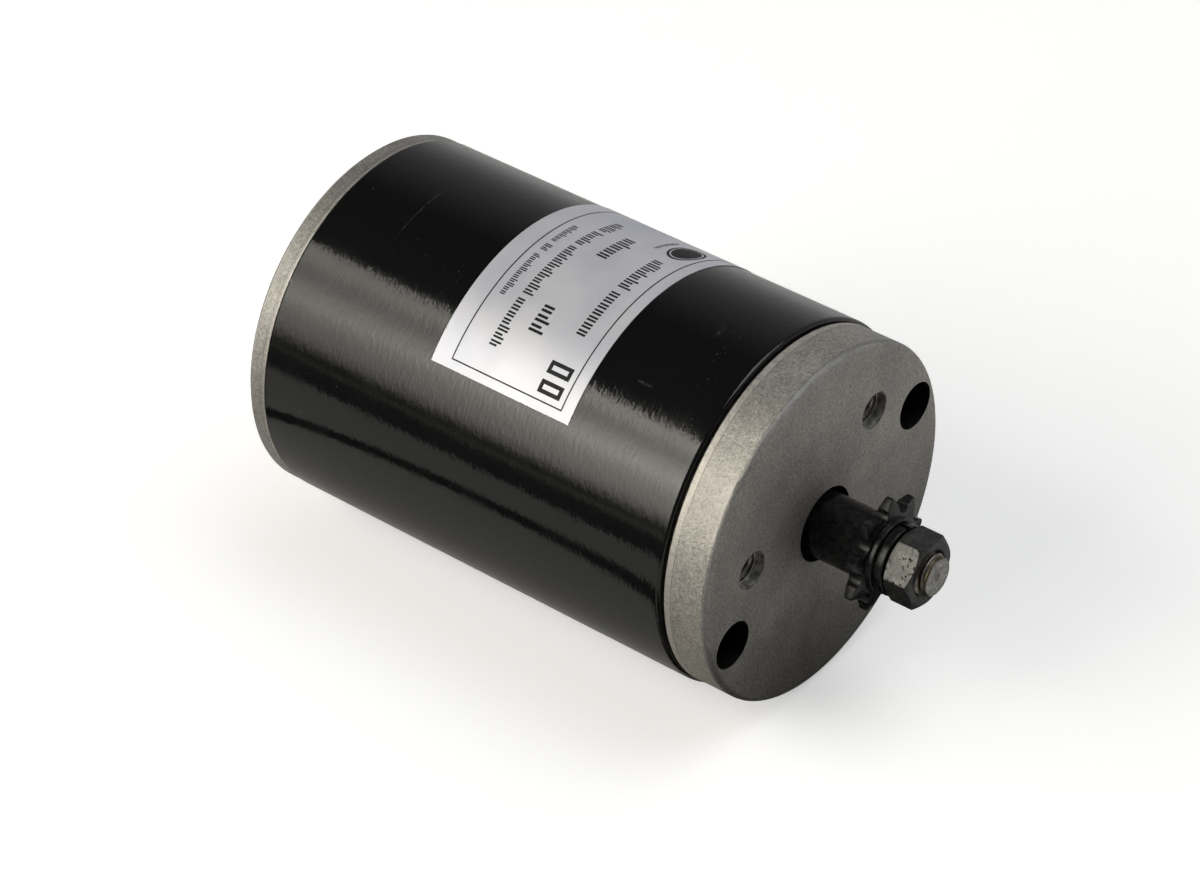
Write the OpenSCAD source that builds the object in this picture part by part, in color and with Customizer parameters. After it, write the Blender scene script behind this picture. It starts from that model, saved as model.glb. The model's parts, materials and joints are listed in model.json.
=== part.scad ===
// Brushed permanent-magnet DC motor with a chain sprocket on its threaded shaft end.
//
// The shaft runs along +X and leaves the motor through the front cap. The origin is the
// centre of the cap's flat mounting face, and +Z is up with the motor lying on its side.
// Every part is drawn around a local z axis and laid along +X by along_shaft(), so that
// local x is +Y, local y is +Z, and a local angle counts from +Y towards +Z. Local heights
// are positions along the shaft: 0 at the mounting face, negative towards the rear.

/* [Can] */
// Outside radius of the steel can
can_r = 34; // [33.5:0.25:35]
// Wall thickness of the can
can_wall = 2; // [1.5:0.25:2]
// Length of the can
can_len = 88.7; // [86:0.1:92]
// How far the rolled front lip stands proud of the can
lip_rise = 0.15; // [0:0.05:0.3]

/* [Front cap] */
// Thickness of the visible flange
front_t = 9; // [8.8:0.1:10]
// Outside radius of the flange
front_r = 33.4; // [33.2:0.1:34]
// Radius of the flange's front edge
front_edge = 1; // [0.5:0.1:1]
// Gap between the flange and the can's lip
seam_gap = 0.5; // [0.2:0.1:1]
// Radius of the hole that the shaft passes through
shaft_hole_r = 7.1; // [6.8:0.1:8]
// Thickness of the wall in front of the bearing
bearing_wall = 3; // [2:0.5:4]

/* [Front face holes] */
// Angle of the line of bolt recesses, from +Y towards +Z
hole_angle = 21.5; // [0:0.5:45]
// Distance of each bolt recess from the shaft axis
recess_u = 27.7; // [27.5:0.1:28]
// Radius of a bolt recess
recess_r = 4.5; // [4.4:0.1:4.7]
// Depth of a bolt recess
recess_depth = 8.4; // [7:0.1:8.6]
// Half the spacing of the two M6 mounting holes
tapped_u = 18.35; // [18:0.05:19]
// Offset of the mounting holes from the recess line
tapped_v = 10.35; // [10:0.05:11]
// Radius of the M6 thread
tapped_r = 3; // [2.5:0.5:3]
// Radius of the plain entry of a mounting hole
entry_r = 3.4; // [3.2:0.1:3.6]
// Depth of the plain entry
entry_depth = 1.8; // [0.5:0.1:3]

/* [Rear cap] */
// Thickness of the visible flange
rear_t = 4.05; // [4:0.05:6]
// Outside radius of the flange
rear_r = 33.9; // [33.5:0.1:34]
// Chamfer of the rear edge
rear_chamfer = 0.75; // [0.3:0.05:1.5]

/* [Shaft] */
// Radius of the shaft inside the rotor
shaft_mid_r = 5; // [4.8:0.1:5.2]
// How far the shaft stands out of the mounting face
shaft_out = 23.4; // [22.6:0.1:26]
// Chamfer of the shaft's end
tip_chamfer = 0.4; // [0.2:0.1:0.8]
// Depth of the driving flat
flat_depth = 0.8; // [0.5:0.1:1]

/* [Sprocket] */
// Number of teeth, for 6.35 mm pitch chain
teeth = 9; // [9:1:11]
// Height of the tooth tips above the pitch circle
addendum = 1.35; // [1.2:0.05:1.5]
// Width of a tooth at its tip
tip_land = 0.6; // [0.5:0.1:1.2]
// Thickness of the toothed plate
plate_t = 2.8; // [2.4:0.1:3]
// Middle of the toothed plate, measured from the mounting face
plate_x = 12; // [11:0.1:13]
// Radius of the long rear hub
hub_r = 5.96; // [5.5:0.02:6]
// Radius of the short front hub
nose_r = 7; // [6.5:0.1:7.2]
// Length of the short front hub
nose_t = 1; // [0.6:0.1:1.5]
// Angle of the first tooth
tooth_angle = 2.5; // [0:0.5:40]

/* [Nut and washer] */
// Outside radius of the spring washer
washer_r = 6.5; // [6:0.1:7]
// Thickness of the spring washer
washer_t = 2; // [1.6:0.1:2.2]
// Width of the nut across its flats
nut_af = 12; // [12:0.5:13]
// Height of the nut
nut_h = 5.4; // [5:0.1:6.5]
// Angle of one corner of the nut
nut_angle = 53; // [0:1:59]

/* [Rotor and field] */
// Radius of the laminated rotor core
core_r = 23.2; // [22.5:0.1:23.4]
// Length of the rotor core
core_len = 36; // [34:0.5:37]
// Inside radius of the magnets
magnet_r = 24.4; // [24.2:0.1:25]
// Length of the magnets
magnet_len = 44; // [40:0.5:46]
// Angle that each magnet spans
magnet_span = 128; // [110:1:130]

/* [Commutator and brushes] */
// Radius of the brush track
comm_r = 11; // [10.5:0.1:11.2]
// Length of the copper bars
comm_len = 15; // [14:0.5:15.5]
// Number of commutator bars
comm_bars = 24; // [12:12:24]
// Width of a brush around the commutator
brush_w = 5; // [4:0.5:6]
// Width of a brush along the shaft
brush_l = 9; // [7:0.5:9]
// Length of a brush along its travel
brush_h = 9.4; // [8:0.2:9.4]

/* [Hidden] */
$fn = 72;

// A hair of room between parts that are pressed or screwed together
slip = 0.02;
// Running clearance between parts that turn or slide on each other
run_gap = 0.05;
// Overlap that keeps the pieces of one solid joined
bite = 0.2;

// Standard sizes: M8 journal and thread, rear journal, chain pitch and roller radius
shaft_r = 4;
shaft_rear_r = 3;
chain_pitch = 6.35;
roller_r = 1.65;

// Stations along the shaft
can_front = -front_t - seam_gap;
can_rear = can_front - can_len;
rear_face = can_rear - rear_t;
can_in_r = can_r - can_wall;
spigot_r = can_in_r - run_gap;
spigot_in_r = spigot_r - 2.4;
spigot_front = -14;
spigot_rear = can_rear + 4.2;

// Ball bearings: [bore radius, outside radius, width, balls, ball radius]
front_brg = [4, 11, 7, 7, 1.95];
rear_brg = [3, 9.5, 6, 6, 1.7];
front_brg_x = -bearing_wall - front_brg[2] / 2;
rear_brg_x = can_rear + 1.3;
shaft_front_step = -bearing_wall - front_brg[2];
shaft_rear_step = rear_brg_x + rear_brg[2] / 2;
shaft_rear_end = rear_brg_x - rear_brg[2] / 2 - 0.3;

slots = 12;
core_front = -28;
core_rear = core_front - core_len;
insulator_t = 1;
winding_in_r = 9;
winding_out_r = 22.4;
front_winding_len = 10;
rear_winding_len = 8.5;
magnet_x = (core_front + core_rear) / 2;

comm_front = -75;
comm_rear = comm_front - comm_len;
comm_in_r = 8.4;
riser_r = 12.6;
riser_t = 1.5;

brush_x = -83;
brush_angle = hole_angle + 90;
box_wall = 0.6;
box_in_r = 12.4;
box_out_r = 28.4;
spring_room = box_out_r - box_wall - (comm_r + 2 * run_gap + brush_h);
card_front = brush_x - brush_l / 2 - 0.15 - box_wall - run_gap;
card_t = 1.9;
card_r = 30.5;
post_radius = 25;
post_angle = hole_angle + 45;
box_side = brush_w / 2 + 0.15 + box_wall;

bolt_r = 2.45;
bolt_boss_r = 3.8;
bolt_head_r = 4.2;
bolt_head_h = 3.2;

grommet_x = -80;
grommet_r = 5.6;
grommet_neck_r = 4;
lead_hole_r = 2.75;
grommet_out = can_r + 1.6;

label_rear = -64.5;
label_len = 30.1;
label_t = 0.1;
label_from = 40;
label_to = 142.6;

half_pitch = 180 / teeth;
pitch_r = chain_pitch / 2 / sin(half_pitch);
tip_r = pitch_r + addendum;
plate_rear = plate_x - plate_t / 2;
plate_front = plate_x + plate_t / 2;
nose_front = plate_front + nose_t;
nut_rear = nose_front + washer_t;
washer_gap_angle = 80;

// ---- shared shapes ----

// Lays a local z axis along the motor's shaft, moved to a station along it
module along_shaft(x = 0) { translate([x, 0, 0]) rotate([90, 0, 90]) children(); }

// Repeats a shape around the shaft
module around(n, first = 0) { for (i = [0:n - 1]) rotate(first + i * 360 / n) children(); }

// Places a shape at both ends of the bolt line
module at_bolts() { around(2, hole_angle) translate([recess_u, 0, 0]) children(); }

// Places a shape at both tapped mounting holes
module at_tapped() {
    rotate(hole_angle) for (side = [-1, 1]) translate([side * tapped_u, tapped_v, 0]) children();
}

// Places a shape at both posts of the brush card
module at_posts() { around(2, post_angle) translate([post_radius, 0, 0]) children(); }

// Plain ring between two stations
module ring(r_in, r_out, from, to) {
    translate([0, 0, from]) difference() {
        cylinder(r = r_out, h = to - from);
        translate([0, 0, -1]) cylinder(r = r_in, h = to - from + 2);
    }
}

// Disc between two stations
module disc(r, from, to) { translate([0, 0, from]) cylinder(r = r, h = to - from); }

// Disc with a small chamfer on its low edge and a true round on its high edge
module flange(r, from, to, round_r) {
    chamfer = 0.25;
    rotate_extrude($fn = 144) {
        polygon([
            [0, from], [r - chamfer, from], [r, from + chamfer],
            [r, to - round_r], [r - round_r, to - round_r], [r - round_r, to], [0, to]
        ]);
        intersection() {
            translate([r - round_r, to - round_r]) circle(r = round_r, $fn = 48);
            translate([r - round_r - bite, to - round_r - bite]) square(round_r + 2 * bite);
        }
    }
}

// Rectangle with round corners, from one corner to the other
module round_box(low, high, r) {
    translate([low[0] + r, low[1]]) square([high[0] - low[0] - 2 * r, high[1] - low[1]]);
    translate([low[0], low[1] + r]) square([high[0] - low[0], high[1] - low[1] - 2 * r]);
    for (x = [low[0] + r, high[0] - r], y = [low[1] + r, high[1] - r])
        translate([x, y]) circle(r = r, $fn = 32);
}

// Points of a quarter arc that rounds an outer corner
function arc(cx, cy, r, a0, a1, n = 8) =
    [for (i = [0:n]) [cx + r * cos(a0 + (a1 - a0) * i / n), cy + r * sin(a0 + (a1 - a0) * i / n)]];

// ---- housing ----

// Deep-drawn steel tube with a rolled front lip and a hole for the leads
module can_tube() {
    lip = can_r + lip_rise;
    roll = 0.7;
    difference() {
        rotate_extrude($fn = 144) polygon(concat(
            [[can_in_r, can_rear], [can_r - 0.3, can_rear], [can_r, can_rear + 0.3]],
            [[can_r, can_front - 2.6], [lip, can_front - 1.8]],
            arc(lip - roll, can_front - roll, roll, 0, 90),
            [[can_in_r, can_front]]
        ));
        translate([0, 0, grommet_x]) rotate([0, 90, 0])
            cylinder(r = grommet_neck_r + run_gap, h = can_r + 2);
    }
}

// Cast front cap: flange, spigot, bearing seat, bolt bosses and tapped bosses
module front_cap_body() {
    seat_back = shaft_front_step - 1;
    difference() {
        union() {
            flange(front_r, -front_t, 0, front_edge);
            ring(spigot_in_r, spigot_r, spigot_front, -front_t + bite);
            disc(front_brg[1] + 2.5, seat_back, -front_t + bite);
            at_bolts() disc(bolt_boss_r, spigot_front + 0.8, -front_t + bite);
            at_tapped() disc(5.5, spigot_front, -front_t + bite);
        }
        disc(shaft_hole_r, -bearing_wall - 1, 1);
        disc(front_brg[1] + slip, seat_back - 1, -bearing_wall);
        at_bolts() disc(recess_r, -recess_depth, 1);
        at_bolts() disc(bolt_r + 0.15, spigot_front - 1, -recess_depth + 1);
        at_tapped() disc(entry_r, -entry_depth, 1);
        at_tapped() disc(tapped_r, spigot_front - 1, -entry_depth + 1);
    }
}

// Cast rear cap: flange, spigot, blind bearing seat, threaded bosses and card posts
module rear_cap_body() {
    pocket_floor = rear_face + 1.4;
    boss_r = rear_brg[1] + 2.3;
    difference() {
        union() {
            rotate_extrude($fn = 144) polygon([
                [0, rear_face], [rear_r - rear_chamfer, rear_face], [rear_r, rear_face + rear_chamfer],
                [rear_r, can_rear - slip], [0, can_rear - slip]
            ]);
            ring(spigot_in_r, spigot_r, can_rear - bite, spigot_rear);
            disc(boss_r, can_rear - bite, shaft_rear_step + 0.5);
            at_bolts() disc(bolt_boss_r, can_rear - bite, can_rear + 6);
            at_posts() disc(3.4, can_rear - bite, card_front - card_t - slip);
        }
        disc(rear_brg[1] + slip, pocket_floor, shaft_rear_step + 2);
        disc(8, rear_face - 1, rear_face + 0.4);
        at_bolts() disc(bolt_r + run_gap, rear_face - 1, can_rear + 7);
        at_posts() disc(1.5, can_rear + 0.5, card_front);
    }
}

// Ferrite arc magnet, centred on a local angle
module magnet_arc(middle) {
    translate([0, 0, magnet_x - magnet_len / 2]) rotate(middle - magnet_span / 2)
        rotate_extrude(angle = magnet_span, $fn = 144)
            translate([magnet_r, 0]) square([spigot_r - magnet_r, magnet_len]);
}

// Spring clip that spreads the two magnets apart: a curved back with a leg at each end
module magnet_clip(middle) {
    span = 180 - magnet_span - 3;
    low = magnet_x - 15;
    clip_t = 0.6;
    rotate(middle - span / 2) translate([0, 0, low]) {
        rotate_extrude(angle = span, $fn = 144) translate([spigot_r - clip_t, 0]) square([clip_t, 30]);
        for (a = [0, span]) rotate(a) translate([magnet_r + 1, -clip_t / 2, 0])
            cube([spigot_r - clip_t - magnet_r - 1 + bite, clip_t, 30]);
    }
}

// Cheese-head bolt that runs from the front recess into the rear cap
module through_bolt() {
    head_back = -recess_depth + slip;
    difference() {
        union() {
            disc(bolt_head_r, head_back, head_back + bolt_head_h);
            disc(bolt_r, rear_face + 0.6, head_back + bite);
        }
        translate([0, 0, head_back + bolt_head_h - 2]) cylinder(r = 2.3, h = 3, $fn = 6);
    }
}

// Half section of a bearing ring, with its ball groove
module bearing_ring(brg, inner) {
    pitch = (brg[0] + brg[1]) / 2;
    land = 0.77 * brg[4];
    difference() {
        if (inner) ring(brg[0], pitch - land, -brg[2] / 2, brg[2] / 2);
        else ring(pitch + land, brg[1], -brg[2] / 2, brg[2] / 2);
        rotate_extrude($fn = 96) translate([pitch, 0]) circle(r = brg[4] + run_gap, $fn = 48);
    }
}

// The two thin side shields of a bearing
module bearing_shields(brg) {
    pitch = (brg[0] + brg[1]) / 2;
    land = 0.77 * brg[4];
    for (side = [-1, 1]) translate([0, 0, side * (brg[2] / 2 - 0.4) - 0.15])
        ring(pitch - land + 0.35, pitch + land - slip, 0, 0.3);
}

// The balls of a bearing
module bearing_balls(brg) {
    around(brg[3]) translate([(brg[0] + brg[1]) / 2, 0, 0]) sphere(r = brg[4], $fn = 32);
}

// Crown cage with one pocket for each ball
module bearing_cage(brg) {
    pitch = (brg[0] + brg[1]) / 2;
    difference() {
        ring(pitch - 0.6, pitch + 0.6, -0.5, brg[4] + 0.5);
        around(brg[3]) translate([pitch, 0, 0]) sphere(r = brg[4] + run_gap, $fn = 32);
    }
}

// ---- brush gear ----

// Moves a shape from the local x axis to the place of one brush
module at_brush(side) { rotate(brush_angle + side * 180) translate([0, 0, brush_x]) children(); }

// Carbon brush with its curved contact face
module carbon_brush(side) {
    contact = comm_r + 2 * run_gap;
    at_brush(side) difference() {
        translate([contact - 1, -brush_w / 2, -brush_l / 2]) cube([brush_h + 1, brush_w, brush_l]);
        cylinder(r = contact, h = 2 * brush_l, center = true);
    }
}

// Brass channel that guides a brush and holds its spring at the outer end
module brush_channel(side) {
    wide = brush_w + 0.3;
    long = brush_l + 0.3;
    at_brush(side) difference() {
        translate([box_in_r, -wide / 2 - box_wall, -long / 2 - box_wall])
            cube([box_out_r - box_in_r, wide + 2 * box_wall, long + 2 * box_wall]);
        translate([box_in_r - 1, -wide / 2, -long / 2])
            cube([box_out_r - box_in_r + 1 - box_wall, wide, long]);
    }
}

// Centre line of a compression spring along the local x axis
function coil_point(t, turns, r, len) = [t * len, r * cos(360 * turns * t), r * sin(360 * turns * t)];

// Round wire wound into a compression spring from x = 0 to x = len
module coil_spring(turns, r, wire, len) {
    rings = turns * 14;
    sides = 6;
    slope = atan2(len, 2 * PI * r * turns);
    pts = [for (i = [0:rings], k = [0:sides - 1])
        let (t = i / rings, a = 360 * turns * t, c = coil_point(t, turns, r, len), b = 360 * k / sides,
             out = wire * cos(b), up = wire * sin(b))
        [c[0] + up * cos(slope), c[1] + out * cos(a) + up * sin(slope) * sin(a),
         c[2] + out * sin(a) - up * sin(slope) * cos(a)]];
    walls = [for (i = [0:rings - 1], k = [0:sides - 1]) let (n = (k + 1) % sides)
        [i * sides + k, i * sides + n, (i + 1) * sides + n, (i + 1) * sides + k]];
    polyhedron(pts, concat([[for (k = [sides - 1:-1:0]) k]], walls,
        [[for (k = [0:sides - 1]) rings * sides + k]]));
}

// Spring between a brush and the closed end of its box
module brush_spring(side) {
    wire = 0.25;
    at_brush(side) translate([comm_r + 2 * run_gap + brush_h + 2 * wire, 0, 0])
        coil_spring(5, 1.9, wire, spring_room - 4 * wire);
}

// Phenolic ring that carries both brush boxes
module card_plate() {
    difference() {
        ring(comm_r + 2, card_r, card_front - card_t, card_front);
        at_bolts() disc(3, card_front - card_t - 1, card_front + 1);
        at_posts() disc(1.6, card_front - card_t - 1, card_front + 1);
    }
}

// Pan-head screw that holds the card to a post
module card_screw() {
    head_top = card_front + slip + 1.8;
    difference() {
        union() {
            disc(2.75, card_front + slip, head_top);
            disc(1.42, can_rear + 2, card_front + slip + bite);
        }
        for (a = [0, 90]) rotate(a) translate([-1.6, -0.35, head_top - 1]) cube([3.2, 0.7, 2]);
    }
}

// Rivets that stand beside each brush box and clamp its feet to the card
module card_rivet() {
    disc(1.5, card_front + slip, card_front + 0.9);
    disc(1.5, card_front - card_t - 0.9, card_front - card_t - slip);
}

// Rubber grommet in the can wall that the two leads pass through
module grommet_body() {
    difference() {
        union() {
            difference() {
                translate([can_r - 2, 0, grommet_x]) rotate([0, 90, 0])
                    cylinder(r = grommet_r, h = grommet_out - can_r + 2);
                disc(can_r + slip, grommet_x - 20, grommet_x + 20);
            }
            intersection() {
                translate([can_in_r - 2.2, 0, grommet_x]) rotate([0, 90, 0])
                    cylinder(r = grommet_r, h = 2.2);
                disc(can_in_r - slip, grommet_x - 20, grommet_x + 20);
            }
            translate([can_in_r - 2.2, 0, grommet_x]) rotate([0, 90, 0])
                cylinder(r = grommet_neck_r, h = grommet_out - can_in_r + 1.7);
        }
        translate([can_in_r - 5, 0, grommet_x]) rotate([0, 90, 0]) cylinder(r = lead_hole_r, h = 12);
    }
}

// Foil plate wrapped around the upper side of the can
module label_foil() {
    translate([0, 0, label_rear]) rotate(label_from)
        rotate_extrude(angle = label_to - label_from, $fn = 144)
            translate([can_r + slip, 0]) square([label_t, label_len]);
}

// ---- rotor ----

// Stepped shaft with a driving flat and an M8 end
module shaft_body() {
    difference() {
        rotate_extrude() polygon([
            [0, shaft_rear_end], [shaft_rear_r - 0.4, shaft_rear_end],
            [shaft_rear_r, shaft_rear_end + 0.4], [shaft_rear_r, shaft_rear_step],
            [shaft_mid_r, shaft_rear_step], [shaft_mid_r, shaft_front_step],
            [shaft_r, shaft_front_step], [shaft_r, shaft_out - tip_chamfer],
            [shaft_r - tip_chamfer, shaft_out], [0, shaft_out]
        ]);
        translate([shaft_r - flat_depth, -shaft_r, -bearing_wall])
            cube([flat_depth + 1, 2 * shaft_r, nose_front + bearing_wall]);
    }
}

// Outline of one rotor slot, grown or shrunk by an allowance
module slot_shape(grow = 0, open = true) {
    low = 15.2;
    high = 19;
    r_low = 1.7 + grow;
    r_high = 2.7 + grow;
    translate([low, 0]) circle(r = r_low, $fn = 32);
    translate([high, 0]) circle(r = r_high, $fn = 32);
    polygon([[low, -r_low], [high, -r_high], [high, r_high], [low, r_low]]);
    if (open) translate([high, -1.1 - grow]) square([core_r - high + 2, 2.2 + 2 * grow]);
}

// Laminated stack, or an end plate of the same outline
module lamination(from, to, r) {
    translate([0, 0, from]) linear_extrude(to - from) difference() {
        circle(r = r);
        circle(r = shaft_mid_r + slip);
        around(slots) slot_shape();
    }
}

// Insulating channel inside every slot
module slot_liner_set() {
    translate([0, 0, core_rear]) linear_extrude(core_len) around(slots) difference() {
        slot_shape(-0.05, false);
        slot_shape(-0.35, false);
        translate([21, -1.1]) square([3, 2.2]);
    }
}

// Bundle of copper wire that fills every slot
module slot_conductor_set() {
    translate([0, 0, core_rear - insulator_t]) linear_extrude(core_len + 2 * insulator_t)
        around(slots) slot_shape(-0.45, false);
}

// Copper overhang at one end of the core
module winding_ring(from, to) {
    rotate_extrude() round_box([winding_in_r, from], [winding_out_r, to], 3.2);
}

// One copper bar of the commutator, with its riser
module commutator_bar() {
    gap_angle = 1.8;
    rotate_extrude(angle = 360 / comm_bars - gap_angle) polygon([
        [comm_in_r, comm_rear], [comm_r, comm_rear], [comm_r, comm_front - riser_t],
        [riser_r, comm_front - riser_t], [riser_r, comm_front], [comm_in_r, comm_front]
    ]);
}

// Toothed outline: a disc with a roller seat and a straight-sided throat in each gap
module tooth_outline() {
    throat = tip_r + 1;
    seat = pitch_r - 0.3;
    tip_x = tip_r * cos(half_pitch) + tip_land / 2 * sin(half_pitch);
    tip_y = tip_r * sin(half_pitch) - tip_land / 2 * cos(half_pitch);
    difference() {
        circle(r = tip_r);
        around(teeth, tooth_angle + half_pitch) {
            translate([pitch_r, 0]) circle(r = roller_r, $fn = 32);
            polygon([
                [seat, -roller_r], [tip_x, -tip_y], [throat, -tip_y],
                [throat, tip_y], [tip_x, tip_y], [seat, roller_r]
            ]);
        }
    }
}

// Sprocket: long rear hub, toothed plate with bevelled tooth sides, and short front hub
module sprocket_body() {
    bevel = 0.75;
    root = pitch_r - roller_r;
    difference() {
        union() {
            disc(hub_r, -bearing_wall + slip, plate_rear + bite);
            intersection() {
                translate([0, 0, plate_rear]) linear_extrude(plate_t) tooth_outline();
                rotate_extrude() polygon([
                    [0, plate_rear], [root, plate_rear], [tip_r + 0.1, plate_rear + bevel],
                    [tip_r + 0.1, plate_front - bevel], [root, plate_front], [0, plate_front]
                ]);
            }
            rotate_extrude() polygon([
                [0, plate_x], [nose_r, plate_x], [nose_r, nose_front - 0.25],
                [nose_r - 0.25, nose_front], [0, nose_front]
            ]);
        }
        intersection() {
            disc(shaft_r + slip, -bearing_wall - 1, nose_front + 1);
            translate([-2 * shaft_r, -2 * shaft_r, -bearing_wall - 1])
                cube([3 * shaft_r - flat_depth + slip, 4 * shaft_r, nose_front + bearing_wall + 2]);
        }
    }
}

// Split spring washer
module split_washer() {
    split_w = 0.8;
    difference() {
        ring(shaft_r + 0.15, washer_r, nose_front + slip, nut_rear - slip);
        rotate(washer_gap_angle) translate([0, -split_w / 2, nose_front - 1])
            cube([washer_r + 1, split_w, washer_t + 2]);
    }
}

// Hexagon nut with both faces chamfered
module nut_body() {
    corner_r = nut_af / 2 / cos(30);
    chamfer_r = nut_af / 2 - 0.1;
    outer_r = corner_r + 0.5;
    rise = (outer_r - chamfer_r) * tan(30);
    difference() {
        intersection() {
            rotate(nut_angle) translate([0, 0, nut_rear]) cylinder(r = corner_r, h = nut_h, $fn = 6);
            rotate_extrude() polygon([
                [0, nut_rear], [chamfer_r, nut_rear], [outer_r, nut_rear + rise],
                [outer_r, nut_rear + nut_h - rise], [chamfer_r, nut_rear + nut_h], [0, nut_rear + nut_h]
            ]);
        }
        disc(shaft_r + slip, nut_rear - 1, nut_rear + nut_h + 1);
    }
}

// ---- sub-parts ----

module motor_can() { color("black") along_shaft() can_tube(); }
module front_end_cap() { color("gray") along_shaft() front_cap_body(); }
module rear_end_cap() { color("silver") along_shaft() rear_cap_body(); }
module magnet_1() { color("dimgray") along_shaft() magnet_arc(brush_angle); }
module magnet_2() { color("dimgray") along_shaft() magnet_arc(brush_angle + 180); }
module magnet_clips() {
    color("lightsteelblue") along_shaft() for (side = [0, 180]) magnet_clip(hole_angle + side);
}
module through_bolts() { color("darkslategray") along_shaft() at_bolts() through_bolt(); }
module front_bearing_outer_ring() { color("silver") along_shaft(front_brg_x) bearing_ring(front_brg, false); }
module front_bearing_shields() { color("gainsboro") along_shaft(front_brg_x) bearing_shields(front_brg); }
module rear_bearing_outer_ring() { color("silver") along_shaft(rear_brg_x) bearing_ring(rear_brg, false); }
module rear_bearing_shields() { color("gainsboro") along_shaft(rear_brg_x) bearing_shields(rear_brg); }
module preload_washer() {
    washer_from = rear_face + 1.4 + slip;
    color("lightsteelblue") along_shaft()
        ring(6.6, rear_brg[1] - 0.3, washer_from, rear_brg_x - rear_brg[2] / 2 - slip);
}
module brush_card() { color("saddlebrown") along_shaft() card_plate(); }
module card_screws() { color("silver") along_shaft() at_posts() card_screw(); }
module box_rivets() {
    color("peru") along_shaft() for (side = [0, 1], edge = [-1, 1]) rotate(brush_angle + side * 180)
        translate([20, edge * (box_side + 1.8), 0]) card_rivet();
}
module brush_box_1() { color("goldenrod") along_shaft() brush_channel(0); }
module brush_box_2() { color("goldenrod") along_shaft() brush_channel(1); }
module brush_spring_1() { color("silver") along_shaft() brush_spring(0); }
module brush_spring_2() { color("silver") along_shaft() brush_spring(1); }
module lead_grommet() { color("darkslategray") along_shaft() grommet_body(); }
module rating_label() { color("lightgray") along_shaft() label_foil(); }
module shaft() { color("lightgray") along_shaft() shaft_body(); }
module rotor_core() { color("lightslategray") along_shaft() lamination(core_rear, core_front, core_r); }
module front_end_insulator() {
    color("khaki") along_shaft() lamination(core_front + slip, core_front + insulator_t, core_r - 0.4);
}
module rear_end_insulator() {
    color("khaki") along_shaft() lamination(core_rear - insulator_t, core_rear - slip, core_r - 0.4);
}
module slot_liners() { color("wheat") along_shaft() slot_liner_set(); }
module slot_conductors() { color("chocolate") along_shaft() slot_conductor_set(); }
module front_end_winding() {
    start = core_front + insulator_t + slip;
    color("chocolate") along_shaft() winding_ring(start, start + front_winding_len);
}
module rear_end_winding() {
    start = core_rear - insulator_t - slip;
    color("chocolate") along_shaft() winding_ring(start - rear_winding_len, start);
}
module commutator_hub() {
    color("saddlebrown") along_shaft()
        ring(shaft_mid_r + slip, comm_in_r - slip, comm_rear - 0.8, comm_front + 0.4);
}
module commutator_bars() { color("peru") along_shaft() around(comm_bars) commutator_bar(); }
module front_bearing_inner_ring() { color("silver") along_shaft(front_brg_x) bearing_ring(front_brg, true); }
module rear_bearing_inner_ring() { color("silver") along_shaft(rear_brg_x) bearing_ring(rear_brg, true); }
module sprocket() { color("darkslategray") along_shaft() sprocket_body(); }
module spring_washer() { color("dimgray") along_shaft() split_washer(); }
module hex_nut() { color("dimgray") along_shaft() nut_body(); }
module front_bearing_cage() { color("tan") along_shaft(front_brg_x) bearing_cage(front_brg); }
module front_bearing_balls() { color("white") along_shaft(front_brg_x) bearing_balls(front_brg); }
module rear_bearing_cage() { color("tan") along_shaft(rear_brg_x) bearing_cage(rear_brg); }
module rear_bearing_balls() { color("white") along_shaft(rear_brg_x) bearing_balls(rear_brg); }
module brush_1() { color("darkgray") along_shaft() carbon_brush(0); }
module brush_2() { color("darkgray") along_shaft() carbon_brush(1); }

motor_can();
front_end_cap();
rear_end_cap();
magnet_1();
magnet_2();
magnet_clips();
through_bolts();
front_bearing_outer_ring();
front_bearing_shields();
rear_bearing_outer_ring();
rear_bearing_shields();
preload_washer();
brush_card();
card_screws();
box_rivets();
brush_box_1();
brush_box_2();
brush_spring_1();
brush_spring_2();
lead_grommet();
rating_label();
shaft();
rotor_core();
front_end_insulator();
rear_end_insulator();
slot_liners();
slot_conductors();
front_end_winding();
rear_end_winding();
commutator_hub();
commutator_bars();
front_bearing_inner_ring();
rear_bearing_inner_ring();
sprocket();
spring_washer();
hex_nut();
front_bearing_cage();
front_bearing_balls();
rear_bearing_cage();
rear_bearing_balls();
brush_1();
brush_2();
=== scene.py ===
"""Looks of a brushed DC motor with a chain sprocket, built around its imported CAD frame.

The shaft runs along +X and the front cap's mounting face is at x = 0. Lengths are in metres,
and an angle counts around the shaft from +Y towards +Z, in degrees.
"""
import json
import math
import random
import bmesh
import bpy
from mathutils import Matrix, Vector


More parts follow.
